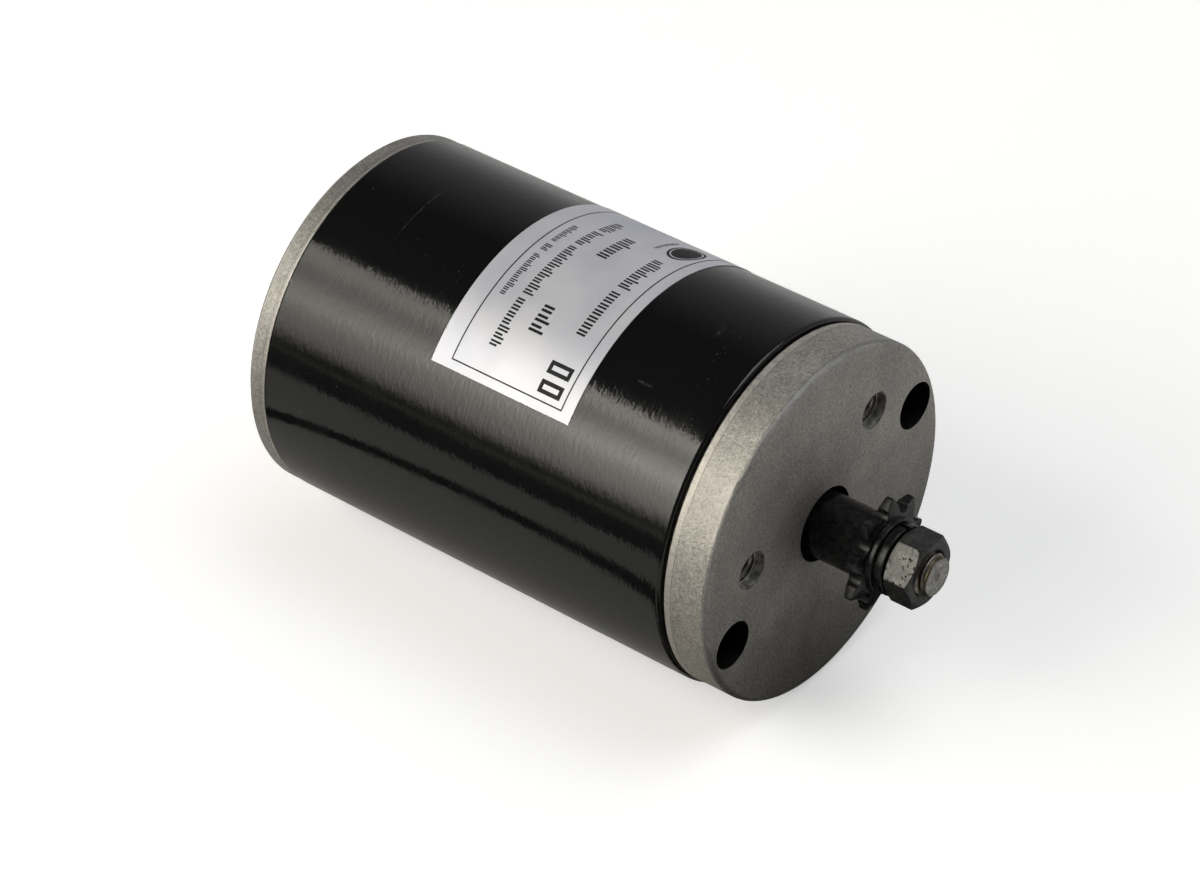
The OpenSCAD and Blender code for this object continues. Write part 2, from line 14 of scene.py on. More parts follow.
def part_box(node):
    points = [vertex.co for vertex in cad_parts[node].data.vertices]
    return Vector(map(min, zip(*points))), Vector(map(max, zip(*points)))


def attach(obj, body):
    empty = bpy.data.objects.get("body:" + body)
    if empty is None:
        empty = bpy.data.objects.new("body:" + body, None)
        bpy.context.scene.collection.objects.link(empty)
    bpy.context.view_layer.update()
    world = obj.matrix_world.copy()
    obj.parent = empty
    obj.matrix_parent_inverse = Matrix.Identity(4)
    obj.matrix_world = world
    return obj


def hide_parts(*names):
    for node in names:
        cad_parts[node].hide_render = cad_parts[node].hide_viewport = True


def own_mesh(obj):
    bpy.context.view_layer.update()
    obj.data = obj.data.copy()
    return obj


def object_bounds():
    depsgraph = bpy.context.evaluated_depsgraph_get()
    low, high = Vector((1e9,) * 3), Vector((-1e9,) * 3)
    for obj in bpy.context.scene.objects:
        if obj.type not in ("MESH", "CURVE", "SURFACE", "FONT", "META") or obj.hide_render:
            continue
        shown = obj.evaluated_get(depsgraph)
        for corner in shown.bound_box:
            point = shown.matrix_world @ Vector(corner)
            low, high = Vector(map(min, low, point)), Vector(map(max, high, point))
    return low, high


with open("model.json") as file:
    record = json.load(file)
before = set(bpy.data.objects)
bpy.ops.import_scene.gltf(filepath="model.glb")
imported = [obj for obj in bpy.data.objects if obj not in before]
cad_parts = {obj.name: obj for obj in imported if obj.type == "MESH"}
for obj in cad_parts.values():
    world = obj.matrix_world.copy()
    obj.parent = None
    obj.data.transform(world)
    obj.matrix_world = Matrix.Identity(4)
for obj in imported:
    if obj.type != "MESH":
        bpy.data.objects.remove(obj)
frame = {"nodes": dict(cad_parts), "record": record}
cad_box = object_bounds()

MM = 0.001
record = frame["record"]
SLOT_OF = {s["node"]: s["material_slot"] for s in record["subparts"]}
BODY_OF = {n: body for body, nodes in record["behaviour"]["bodies"].items() for n in nodes}


def extent(node):
    """First and last station of a node along the shaft, in millimetres."""
    low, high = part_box(node)
    return low.x / MM, high.x / MM


# Driving dimensions in millimetres and degrees, as in the CAD
CAN_R = 34
CAN_WALL = 2
CAN_REAR, CAN_FRONT = extent("motor_can")
LIP_RISE = 0.15
LIP_ROLL = 0.7
HOLE_ANGLE = 21.5
TAPPED_U = 18.35
TAPPED_V = 10.35
RECESS_U = 27.7
RECESS_R = 4.5
SHAFT_HOLE_R = 7.1
ENTRY_R = 3.4
ENTRY_DEPTH = 1.8
JOURNAL_R = 4
SHAFT_MID_R = 5
REAR_JOURNAL_R = 3
FRONT_STEP = -10
REAR_STEP = -93.9
M8_PITCH = 1.25
M6_PITCH = 1.0
M6_CREST_R = 2.46
M6_ROOT_R = 2.97
THREAD_OUTER_R = 2.99
HOLE_END = -13.9
THREAD_ROOT_R = 3.42
THREAD_CREST_R = 3.97
TIP_X = extent("shaft")[1]
TEETH = 9
TOOTH_ANGLE = 2.5
CHAIN_PITCH = 6.35
ROLLER_R = 1.65
ADDENDUM = 1.35
TIP_LAND = 0.6
TOOTH_BEVEL = 0.75
PLATE_X = 12
PLATE_T = 2.8
HUB_R = 5.96
NOSE_R = 7
WASHER_R = 6.5
WASHER_GAP = 1.0
WASHER_GAP_ANGLE = 80
NUT_AF = 12
NUT_CORNER_ANGLE = 53
GROMMET_NECK_R = 4.0
LEAD_HOLE_R = 2.75
BRUSH_X = -83
BRUSH_ANGLE = HOLE_ANGLE + 90
SPRING_SPAN = (21.1, 27.3)
SPRING_TURNS = 5
SPRING_R = 1.9
SPRING_WIRE_R = 0.25


# ---- camera, floor and light ----

AZIMUTH = 38.67
ELEVATION = 36.93
AIM = Vector((-45.5, -4.6, 0.4)) * MM
DISTANCE = 720.8 * MM
LENS = 123.34

# Edges of the mirrored table, and the dark joint that crosses it in front of the motor
TABLE_EDGE = -0.160
TABLE_FAR = 0.200
JOINT_START = (-0.150, -0.020)
JOINT_END = (0.0, -0.020)
JOINT_BOW = 0.0625
JOINT_SHAPE = 2.6
JOINT_WIDTH = 0.015
# Outlines in millimetres of two patches of table in front of the face: painted shade near it, and
# painted light beyond
SHADE = [(-2, -90), (26, -75), (36, -6), (40, 32), (22, 60), (-2, 62)]
LIT_PATCH = [(36, -10), (140, -40), (140, 190), (36, 190)]
# Brightness of the far floor and of the wall behind it, and where the floor turns into it, in mm
FAR_WHITE = 0.97
FLOOR_FADE = (300, 1500)
FLOOR_REACH = 6.0
FLOOR_Z = min(point[2] for point in cad_box)
TABLE_REACH = 3.0
WALL_R = 5.9
WALL_HEIGHT = 6.0
# How far the mirrored cards lie below the floor, in millimetres, so that none shares a plane
TABLE_DROP = 0.4
LIT_PATCH_DROP = 0.3
SHADE_DROP = 0.25
JOINT_DROP = 0.2

# Brightness of the window light by angle around the shaft, from its top edge to its foot
WINDOW = [(121, 3.9), (128, 3.9), (134, 2.7), (138, 2.7), (144, 4.0), (151, 4.9), (156, 3.7),
          (161, 2.9), (168, 2.3), (172.5, 1.6), (177.5, 0.35), (180.5, 0.0), (183.5, 0.4), (187, 0.0)]
WINDOW_TILT = (4, 56)
# Between these tilts, which the can mirrors, the window dims and its top edge drops rearwards
FADE_TILT = (27, 34)
WINDOW_FRONT_GAIN = 1.25
WINDOW_REAR_GAIN = 0.75
WINDOW_SLANT = 9
WINDOW_DISTANCE = 1.5
WINDOW_AIM = Vector((-50, 0, 0)) * MM
WINDOW_COLOUR = (1.0, 0.965, 0.87, 1)

# Soft light from above the sprocket's end
TOP_SIDE = Vector((0.25, 0.25, 0.93)).normalized()
TOP_DISTANCE = 1.2
TOP_SIZE = 0.9
TOP_WATTS = 5.0
TOP_COLOUR = (0.97, 0.985, 1.0)

# Brightness of the room by angle around the shaft: 0 is straight behind, 90 overhead
ROOM = [(-180, 0.08), (-165, 0.04), (-120, 0.02), (-40, 0.30), (-20, 0.52), (-8, 0.50), (0, 0.44),
        (8, 0.39), (24, 0.27), (40, 0.19), (56, 0.085), (66, 0.03), (116, 0.05), (172, 0.08),
        (180, 0.08)]


def place_camera():
    """Looks at AIM from the given side, with the long lens of a product shot."""
    a, e = math.radians(AZIMUTH), math.radians(ELEVATION)
    back = Vector((math.sin(a) * math.cos(e), -math.cos(a) * math.cos(e), math.sin(e)))
    data = bpy.data.cameras.new("camera")
    data.sensor_width = 36
    data.lens = LENS
    data.clip_start = 0.01
    camera = bpy.data.objects.new("camera", data)
    bpy.context.scene.collection.objects.link(camera)
    camera.location = AIM + back * DISTANCE
    camera.rotation_euler = back.to_track_quat("Z", "Y").to_euler()
    bpy.context.scene.camera = camera


def stage_card(name, material, points, faces):
    """Piece of the stage made from a list of points and faces."""
    mesh = bpy.data.meshes.new(name)
    mesh.from_pydata(points, [], faces)
    mesh.materials.append(material)
    card = bpy.data.objects.new(name, mesh)
    bpy.context.scene.collection.objects.link(card)
    return card


def level_card(name, material, reach, y_range, z):
    """Wide level rectangle between two distances from the shaft's plane."""
    (y0, y1) = y_range
    points = [(-reach, y0, z), (reach, y0, z), (reach, y1, z), (-reach, y1, z)]
    return stage_card(name, material, points, [(0, 1, 2, 3)])


def patch_card(name, material, outline, z):
    """Level patch with an outline in millimetres."""
    return stage_card(name, material, [(x * MM, y * MM, z) for x, y in outline],
                      [tuple(range(len(outline)))])


def make_floor():
    """Pale floor that the can lies on, and the grey table top that its gloss mirrors.

    The camera sees only the floor. The mirrored table ends in front of the motor, and a dark
    joint curves across it, which gives the paint its thin dark line. A patch of painted shade
    lies in front of the face, and a patch of painted light beyond it.
    """
    floor = level_card("floor", floor_white(), FLOOR_REACH, (-FLOOR_REACH, FLOOR_REACH), FLOOR_Z)
    show_to_camera_only(floor)
    cards = [
        level_card("table", card_grey("table_grey", 0.66), TABLE_REACH, (TABLE_EDGE, TABLE_FAR),
                   FLOOR_Z - TABLE_DROP * MM),
        joint_card(FLOOR_Z - JOINT_DROP * MM),
        patch_card("table_shade", card_grey("shade_dark", 0.04), SHADE, FLOOR_Z - SHADE_DROP * MM),
        # Painted light: a pale patch beyond the face stands for the brighter-lit table that the face
        # mirrors.
        patch_card("table_lit_patch", card_grey("lit_patch_pale", 0.95), LIT_PATCH, FLOOR_Z - LIT_PATCH_DROP * MM),
    ]
    for card in cards:
        card.visible_camera = False
        card.visible_shadow = False
        card.visible_transmission = False


def show_to_camera_only(card):
    """Keeps a piece of the stage out of reflections and out of the light."""
    card.visible_glossy = False
    card.visible_diffuse = False
    card.visible_shadow = False


def make_backdrop():
    """Pale wall around the floor's far edge, closed above, that only the camera sees."""
    turns = 48
    points = []
    for z in (FLOOR_Z - 0.1, WALL_HEIGHT):
        for k in range(turns):
            a = 2 * math.pi * k / turns
            points.append((WALL_R * math.cos(a), WALL_R * math.sin(a), z))
    faces = [(k, (k + 1) % turns, turns + (k + 1) % turns, turns + k) for k in range(turns)]
    faces.append(tuple(range(turns, 2 * turns)))
    s = Shader("backdrop_white")
    s.set(Base_Color=grey(0.0), Roughness=1.0, Specular_IOR_Level=0.0, Emission_Color=grey(1.0),
          Emission_Strength=FAR_WHITE)
    show_to_camera_only(stage_card("backdrop", s.material, points, faces))


def joint_card(z):
    """Dark band across the table: a flat-bottomed bow of even width."""
    (x0, y0), (x1, y1), bow, width = JOINT_START, JOINT_END, JOINT_BOW, JOINT_WIDTH
    points, steps = [], 36
    for i in range(steps + 1):
        t = i / steps
        sag = bow * (1 - abs(2 * t - 1) ** JOINT_SHAPE)
        x, y = x0 + (x1 - x0) * t, y0 + (y1 - y0) * t - sag
        points += [(x, y - width / 2, z), (x, y + width / 2, z)]
    faces = [(2 * i, 2 * i + 2, 2 * i + 3, 2 * i + 1) for i in range(steps)]
    return stage_card("table_joint", card_grey("joint_dark", 0.01), points, faces)


def card_grey(name, tone):
    """Matt grey of the mirrored table."""
    s = Shader(name)
    s.set(Base_Color=grey(tone), Roughness=1.0, Specular_IOR_Level=0.0)
    return s.material


def window_glow(angle):
    """Brightness of the window between the stops of its table."""
    for (a0, g0), (a1, g1) in zip(WINDOW, WINDOW[1:]):
        if angle <= a1:
            return g0 + (g1 - g0) * (angle - a0) / (a1 - a0)
    return WINDOW[-1][1]


def make_window():
    """Broad soft window of light on the left: a curved card whose brightness varies across it.

    It leans towards -X, so that the can mirrors it into the camera, and its top edge slants.
    """
    rows, columns = 44, 52
    first, last = WINDOW[0][0], WINDOW[-1][0]
    points, glow = [], []
    for i in range(rows + 1):
        for j in range(columns + 1):
            lean = WINDOW_TILT[0] + (WINDOW_TILT[1] - WINDOW_TILT[0]) * j / columns
            front = max(0.0, min(1.0, (FADE_TILT[1] - lean) / (FADE_TILT[1] - FADE_TILT[0])))
            tilt = math.radians(lean)
            angle = first + (last - first) * i / rows
            slant = WINDOW_SLANT * (front - 0.5) * (1 - i / rows) ** 3
            a = math.radians(angle + slant)
            away = Vector((-math.sin(tilt), math.cos(tilt) * math.cos(a), math.cos(tilt) * math.sin(a)))
            points.append(WINDOW_AIM + away * WINDOW_DISTANCE)
            gain = WINDOW_REAR_GAIN + (WINDOW_FRONT_GAIN - WINDOW_REAR_GAIN) * front
            glow.append(window_glow(angle) * gain)
    width = columns + 1
    faces = [(i * width + j, i * width + j + 1, (i + 1) * width + j + 1, (i + 1) * width + j)
             for i in range(rows) for j in range(columns)]
    card = stage_card("window", window_material(), points, faces)
    held = card.data.attributes.new("glow", "FLOAT", "POINT")
    held.data.foreach_set("value", glow)
    card.visible_camera = False
    card.visible_shadow = False


def make_top_light():
    """Weaker soft light from above the sprocket's end, which the can doesn't mirror."""
    data = bpy.data.lights.new("top_light", "AREA")
    data.shape = "SQUARE"
    data.size = TOP_SIZE
    data.energy = TOP_WATTS
    data.color = TOP_COLOUR
    light = bpy.data.objects.new("top_light", data)
    bpy.context.scene.collection.objects.link(light)
    light.location = AIM + TOP_SIDE * TOP_DISTANCE
    light.rotation_euler = TOP_SIDE.to_track_quat("Z", "Y").to_euler()


def window_material():
    """Warm even glow, as bright as the card's own "glow" values say."""
    material = bpy.data.materials.new("window_glow")
    material.use_nodes = True
    tree = material.node_tree
    tree.nodes.clear()
    out = tree.nodes.new("ShaderNodeOutputMaterial")
    emission = tree.nodes.new("ShaderNodeEmission")
    emission.inputs["Color"].default_value = WINDOW_COLOUR
    value = tree.nodes.new("ShaderNodeAttribute")
    value.attribute_name = "glow"
    tree.links.new(value.outputs["Fac"], emission.inputs["Strength"])
    tree.links.new(emission.outputs[0], out.inputs[0])
    return material


def light_the_room():
    """Pale backdrop behind the motor and a dark ceiling, as a band of greys around the shaft."""
    world = bpy.data.worlds.new("studio")
    bpy.context.scene.world = world
    world.use_nodes = True
    tree = world.node_tree
    tree.nodes.clear()
    out = tree.nodes.new("ShaderNodeOutputWorld")
    background = tree.nodes.new("ShaderNodeBackground")
    coords = tree.nodes.new("ShaderNodeTexCoord")
    split = tree.nodes.new("ShaderNodeSeparateXYZ")
    angle = tree.nodes.new("ShaderNodeMath")
    angle.operation = "ARCTAN2"
    around = tree.nodes.new("ShaderNodeMapRange")
    around.inputs["From Min"].default_value = -math.pi
    around.inputs["From Max"].default_value = math.pi
    ramp = tree.nodes.new("ShaderNodeValToRGB")
    tree.links.new(coords.outputs["Generated"], split.inputs[0])
    tree.links.new(split.outputs["Z"], angle.inputs[0])
    tree.links.new(split.outputs["Y"], angle.inputs[1])
    tree.links.new(angle.outputs[0], around.inputs["Value"])
    tree.links.new(around.outputs[0], ramp.inputs[0])
    tree.links.new(ramp.outputs[0], background.inputs["Color"])
    tree.links.new(background.outputs[0], out.inputs[0])
    while len(ramp.color_ramp.elements) < len(ROOM):
        ramp.color_ramp.elements.new(0.5)
    for element, (degrees, value) in zip(ramp.color_ramp.elements, ROOM):
        element.position = (degrees + 180) / 360
        element.color = (value, value, value, 1)


# ---- materials ----

class Shader:
    """Small helper that adds nodes to a material and links them by name."""

    def __init__(self, name):
        self.material = bpy.data.materials.new(name)
        self.material.use_nodes = True
        self.tree = self.material.node_tree
        self.bsdf = self.tree.nodes["Principled BSDF"]

    def add(self, kind, inputs=None, **settings):
        node = self.tree.nodes.new("ShaderNode" + kind)
        for key, value in settings.items():
            setattr(node, key, value)
        for key, value in (inputs or {}).items():
            self.put(node.inputs[key], value)
        return node

    def put(self, socket, value):
        if isinstance(value, bpy.types.NodeSocket):
            self.tree.links.new(value, socket)
        else:
            socket.default_value = value

    def set(self, **values):
        """Sets the surface shader's sockets; underscores in a name stand for spaces."""
        for key, value in values.items():
            self.put(self.bsdf.inputs[key.replace("_", " ")], value)

    def math(self, operation, a, b=0.0):
        return self.add("Math", {0: a, 1: b}, operation=operation).outputs[0]

    def place(self, scale=(1, 1, 1)):
        """Object coordinates in millimetres, stretched per axis."""
        coords = self.add("TexCoord").outputs["Object"]
        per_mm = tuple(s / MM for s in scale)
        return self.add("Mapping", {"Vector": coords, "Scale": per_mm}).outputs[0]

    def noise(self, size, detail=2.0, rough=0.5, scale=(1, 1, 1)):
        """Noise value whose blobs are about size millimetres across."""
        inputs = {"Vector": self.place(scale), "Scale": 1 / size, "Detail": detail, "Roughness": rough}
        return self.add("TexNoise", inputs).outputs[0]

    def remap(self, value, low, high, to_low=0.0, to_high=1.0):
        inputs = {"Value": value, "From Min": low, "From Max": high,
                  "To Min": to_low, "To Max": to_high}
        return self.add("MapRange", inputs).outputs[0]

    def blend(self, factor, one, other):
        """Colour between two colours."""
        node = self.add("Mix", {0: factor}, data_type="RGBA")
        self.put(node.inputs[6], one)
        self.put(node.inputs[7], other)
        return node.outputs[2]

    def shade(self, colour, factor):
        """Colour made darker or lighter by a factor."""
        node = self.add("Mix", {0: 1.0}, data_type="RGBA", blend_type="MULTIPLY")
        self.put(node.inputs[6], colour)
        self.put(node.inputs[7], factor)
        return node.outputs[2]

    def near(self, value, centre, width):
        """1 where a value is at a centre, falling to 0 at a width from it."""
        off = self.math("ABSOLUTE", self.math("SUBTRACT", value, centre))
        return self.remap(off, 0.0, width, 1.0, 0.0)

    def off_axis(self, split, centre=(0.0, 0.0)):
        """Distance in millimetres from a line along the shaft's direction."""
        dy = self.math("SUBTRACT", split.outputs[1], centre[0])
        dz = self.math("SUBTRACT", split.outputs[2], centre[1])
        return self.math("SQRT", self.math("ADD", self.math("MULTIPLY", dy, dy),
                                           self.math("MULTIPLY", dz, dz)))

    def bump(self, height, depth_mm, normal=None):
        inputs = {"Height": height, "Distance": depth_mm * MM}
        if normal is not None:
            inputs["Normal"] = normal
        return self.add("Bump", inputs).outputs[0]

    def along(self):
        """Millimetres along the shaft, degrees around it, and the three coordinates themselves."""
        split = self.add("SeparateXYZ", {0: self.place()})
        angle = self.math("ARCTAN2", split.outputs[2], split.outputs[1])
        return split.outputs[0], self.math("MULTIPLY", angle, 180 / math.pi), split


def grey(value):
    return (value, value, value, 1.0)


def rgb(r, g, b):
    return (r, g, b, 1.0)


# Marks on the paint: place along the shaft, angle, half length, half angle and weight
SCUFFS = [(-83.5, 102, 0.09, 15, 0.5), (-25, 122.5, 1.8, 0.6, 0.28), (-20, 97, 0.5, 3, 0.25)]
PAINT_CHIP = (-98.05, 139.6, 0.45, 0.8, 1.0)


def black_enamel():
    """Gloss black paint over the turned can: fine ridges around it, dust, scuffs and hairlines."""
    s = Shader("black_enamel")
    ridges = s.noise(0.75, 2.0, 0.65, (1, 0.4, 0.4))
    swell = s.noise(8, 1.0, 0.5, (1, 0.3, 0.3))
    peel = s.noise(2.4, 1.0, 0.5)
    normal = s.bump(ridges, 0.031)
    normal = s.bump(swell, 0.05, normal)
    normal = s.bump(peel, 0.010, normal)
    smudge = s.noise(12, 4.0, 0.65)
    rough = s.remap(smudge, 0.35, 0.7, 0.075, 0.15)
    dust = s.remap(s.noise(0.38, 0.0, 0.5), 0.815, 0.86, 0.0, 0.5)
    dusty = s.remap(s.noise(11, 2.0, 0.5), 0.45, 0.6, 0.15, 1.0)
    hair = s.remap(s.noise(1.5, 2.0, 0.7, (0.3, 1.4, 1.4)), 0.76, 0.81, 0.0, 0.45)
    patch = s.remap(s.noise(15, 1.0, 0.5), 0.54, 0.62)
    marks = s.math("MAXIMUM", s.math("MULTIPLY", hair, patch), s.math("MULTIPLY", dust, dusty))
    for scuff in SCUFFS:
        marks = s.math("MAXIMUM", marks, rub_mark(s, *scuff))
    colour = s.blend(marks, rgb(0.005, 0.005, 0.0052), rgb(0.10, 0.10, 0.095))
    chip = rub_mark(s, *PAINT_CHIP)
    colour = s.blend(chip, colour, rgb(0.42, 0.40, 0.37))
    s.set(Base_Color=colour, Roughness=s.math("ADD", rough, s.math("MULTIPLY", marks, 0.3)),
          Normal=normal, IOR=1.5)
    return s.material


def rub_mark(s, x, angle, half_x, half_angle, weight):
    """Soft scratch of a given half length and half width, broken up by noise."""
    along, around, _ = s.along()
    dx = s.math("DIVIDE", s.math("SUBTRACT", along, x), half_x)
    da = s.math("DIVIDE", s.math("SUBTRACT", around, angle), half_angle)
    far = s.math("ADD", s.math("POWER", dx, 2.0), s.math("POWER", da, 2.0))
    broken = s.remap(s.noise(0.9, 3.0, 0.7), 0.35, 0.6)
    return s.math("MULTIPLY", s.remap(far, 1.0, 0.4, 0.0, weight), broken)


def cast_aluminium(name, light, dark, marks):
    """Blasted casting: fine grain, soft blotches, small pits, pale specks and its own marks, which on
    the front cap include painted light and shade.
    """
    s = Shader(name)
    grain_depth = 0.05
    grain = s.noise(0.36, 2.0, 0.6)
    pebble = s.noise(0.75, 2.0, 0.55)
    blotch = s.noise(7, 4.0, 0.62)
    wide = s.noise(24, 2.0, 0.5)
    tone = s.math("ADD", s.math("MULTIPLY", blotch, 0.6), s.math("MULTIPLY", wide, 0.4))
    colour = s.blend(s.remap(tone, 0.36, 0.64), dark, light)
    grit = s.math("ADD", s.remap(grain, 0.3, 0.7, 0.58, 1.22), s.remap(pebble, 0.3, 0.7, -0.08, 0.22))
    colour = s.shade(colour, grit)
    speck = s.remap(s.noise(0.42, 1.0, 0.5), 0.70, 0.78, 0.0, 0.55)
    colour = s.blend(speck, colour, rgb(0.10, 0.095, 0.085))
    pale = s.remap(s.noise(0.36, 1.0, 0.5, (1.1, 0.9, 1.0)), 0.66, 0.76, 0.0, 0.35)
    colour = s.blend(pale, colour, rgb(0.62, 0.60, 0.56))
    colour = marks(s, colour)
    normal = s.bump(grain, grain_depth)
    normal = s.bump(pebble, grain_depth * 1.2, normal)
    rough = s.remap(grain, 0.3, 0.7, 0.48, 0.64)
    s.set(Base_Color=colour, Metallic=0.76, Roughness=rough, Normal=normal)
    return s.material


def hole_centre(u, v):
    """Place across the face of a point given along and across the line of bolt recesses."""
    a = math.radians(HOLE_ANGLE)
    return u * math.cos(a) - v * math.sin(a), u * math.sin(a) + v * math.cos(a)


# Where the front cap's machined band starts, and the marks of the rear cap's rim, in
# millimetres from the can: place, half width, weight and colour
BAND_X = -7.55
REAR_LINES = [(0.25, 0.3, 0.6, rgb(0.66, 0.63, 0.57)), (0.95, 0.3, 0.45, rgb(0.14, 0.135, 0.13)),
              (3.3, 0.3, 0.4, rgb(0.62, 0.60, 0.57))]


def front_cap_marks_and_painted_light(s, colour):
    """Machined band beside the can, with painted light and shade: a lighter flange side towards the
    window, a darker bluish front edge with a highlight along its top and a dark line behind it, pale
    hole walls, dark hole rims, and near-black recesses and bore.
    """
    along, _, split = s.along()
    broken = s.remap(s.noise(1.6, 3.0, 0.6), 0.35, 0.6, 0.3, 1.0)
    # Painted light: the flange's side is made up to 12% lighter towards -Y, where the window falls on
    # it.
    painted_side_light = s.math("MULTIPLY", s.remap(split.outputs[1], -11, -32, 0.0, 0.12),
                   s.remap(along, -0.5, -1.2))
    colour = s.shade(colour, s.math("ADD", painted_side_light, 1.0))
    band = s.math("MULTIPLY", s.remap(along, BAND_X + 0.1, BAND_X - 0.1, 0.0, 0.65), broken)
    colour = s.blend(band, colour, rgb(0.64, 0.61, 0.56))
    line = s.math("MULTIPLY", s.near(along, BAND_X, 0.13), broken)
    colour = s.blend(s.math("MULTIPLY", line, 0.8), colour, rgb(0.12, 0.115, 0.11))
    # Painted shade: a darker, bluish band on the rounded front edge.
    edge = s.math("MULTIPLY", s.near(along, -0.6, 0.55), 0.6)
    colour = s.blend(edge, colour, rgb(0.22, 0.23, 0.25))
    # Painted highlight: a pale line along the front edge, only near its top.
    rubbed = s.math("MULTIPLY", s.near(along, -0.25, 0.3),
                    s.remap(split.outputs[2], 25, 32, 0.0, 0.6))
    colour = s.blend(s.math("MULTIPLY", rubbed, broken), colour, rgb(0.66, 0.66, 0.65))
    # Painted shade: a thin dark line where the rounded front edge meets the flange's side.
    painted_crease_shade = s.math("MULTIPLY", s.near(along, -1.05, 0.14), broken)
    colour = s.blend(s.math("MULTIPLY", painted_crease_shade, 0.7), colour, rgb(0.10, 0.10, 0.10))
    below = s.remap(along, -0.04, -0.10)
    for side in (-1, 1):
        r = s.off_axis(split, hole_centre(side * TAPPED_U, TAPPED_V))
        # Painted light: the walls of the hole entries are painted pale, as if lit like the face.
        wall = s.math("MULTIPLY", s.remap(r, ENTRY_R + 0.15, ENTRY_R + 0.1), below)
        colour = s.blend(wall, colour, rgb(0.86, 0.84, 0.79))
        # Painted shade: a thin dark ring around each hole's entry.
        rim = s.math("MULTIPLY", s.near(r, ENTRY_R + 0.05, 0.22), broken)
        colour = s.blend(rim, colour, rgb(0.03, 0.03, 0.028))
        # Painted shade: the bolt recesses are painted near-black inside.
        r = s.off_axis(split, hole_centre(side * RECESS_U, 0.0))
        recess = s.math("MULTIPLY", s.remap(r, RECESS_R + 0.08, RECESS_R + 0.04), below)
        colour = s.blend(recess, colour, grey(0.012))
    # Painted shade: the shaft bore is painted near-black inside.
    bore = s.remap(s.off_axis(split), SHAFT_HOLE_R + 0.2, SHAFT_HOLE_R + 0.1)
    return s.blend(s.math("MULTIPLY", bore, below), colour, grey(0.012))


def rear_cap_marks(s, colour):
    """Pale line beside the can, a dark turned line and a rubbed rear edge."""
    along, _, _ = s.along()
    broken = s.remap(s.noise(2.2, 3.0, 0.6), 0.35, 0.6, 0.25, 1.0)
    for behind, width, weight, tone in REAR_LINES:
        line = s.math("MULTIPLY", s.near(along, CAN_REAR - behind, width), broken)
        colour = s.blend(s.math("MULTIPLY", line, weight), colour, tone)
    return colour


def oxide_steel():
    """Oiled black oxide: near-black steel with an uneven sheen."""
    s = Shader("oxide_steel")
    blotch = s.noise(1.4, 3.0, 0.6)
    fine = s.noise(0.22, 2.0, 0.6)
    colour = s.blend(s.remap(blotch, 0.4, 0.75), rgb(0.004, 0.004, 0.0045), rgb(0.016, 0.015, 0.014))
    s.set(Base_Color=colour, Roughness=s.remap(blotch, 0.3, 0.7, 0.20, 0.36),
          Normal=s.bump(fine, 0.006), IOR=1.37)
    return s.material


def turned_steel(name):
    """Turned steel with faint rings and rust in its low places."""
    s = Shader(name)
    rings = s.noise(0.3, 2.0, 0.5, (1, 0.3, 0.3))
    stain = s.remap(s.noise(1.1, 3.0, 0.65), 0.52, 0.68, 0.0, 0.35)
    base = s.blend(s.remap(s.noise(0.6, 3.0, 0.6), 0.3, 0.7), grey(0.42 * 0.72), grey(0.42))
    colour = s.blend(stain, base, rgb(0.16, 0.10, 0.055))
    s.set(Base_Color=colour, Metallic=0.9, Roughness=s.remap(rings, 0.3, 0.7, 0.28, 0.45),
          Normal=s.bump(rings, 0.012))
    return s.material


def label_foil():
    """Satin silver foil with a slight blue cast and a fine grain."""
    s = Shader("label_foil")
    cloud = s.noise(11, 2.0, 0.5)
    grain = s.noise(0.2, 1.0, 0.5)
    colour = s.blend(s.remap(cloud, 0.35, 0.65), rgb(0.66, 0.67, 0.74), rgb(0.74, 0.74, 0.79))
    s.set(Base_Color=colour, Metallic=0.35, Roughness=s.remap(grain, 0.3, 0.7, 0.42, 0.50),
          Normal=s.bump(grain, 0.004))
    return s.material


def label_ink():
    """Printed ink: flat black, slightly thin in places."""
    s = Shader("label_ink")
    thin = s.noise(0.5, 2.0, 0.6)
    colour = s.blend(s.remap(thin, 0.45, 0.75), rgb(0.008, 0.008, 0.009), rgb(0.022, 0.022, 0.025))
    s.set(Base_Color=colour, Roughness=0.55, Normal=s.bump(thin, 0.003), Specular_IOR_Level=0.25)
    return s.material


def plain_metal(name, colour, rough):
    """Machined or plated metal with uneven tone and fine grain."""
    s = Shader(name)
    size, contrast = 0.8, 0.25
    tone = s.noise(size, 3.0, 0.6)
    fine = s.noise(size * 0.2, 2.0, 0.6)
    dark = tuple(c * (1 - contrast) for c in colour[:3]) + (1.0,)
    s.set(Base_Color=s.blend(s.remap(tone, 0.35, 0.65), dark, colour), Metallic=1.0,
          Roughness=s.remap(tone, 0.3, 0.7, rough * 0.8, rough * 1.2), Normal=s.bump(fine, 0.008))
    return s.material


def plain_matter(name, colour, rough=0.6, size=1.5, contrast=0.25, depth=0.02):
    """Moulded or pressed non-metal with mottled tone and a fine surface."""
    s = Shader(name)
    tone = s.noise(size, 4.0, 0.6)
    fine = s.noise(size * 0.25, 2.0, 0.6)
    dark = tuple(c * (1 - contrast) for c in colour[:3]) + (1.0,)
    s.set(Base_Color=s.blend(s.remap(tone, 0.35, 0.65), dark, colour),
          Roughness=s.remap(fine, 0.3, 0.7, rough * 0.9, rough * 1.1), Normal=s.bump(fine, depth))
    return s.material


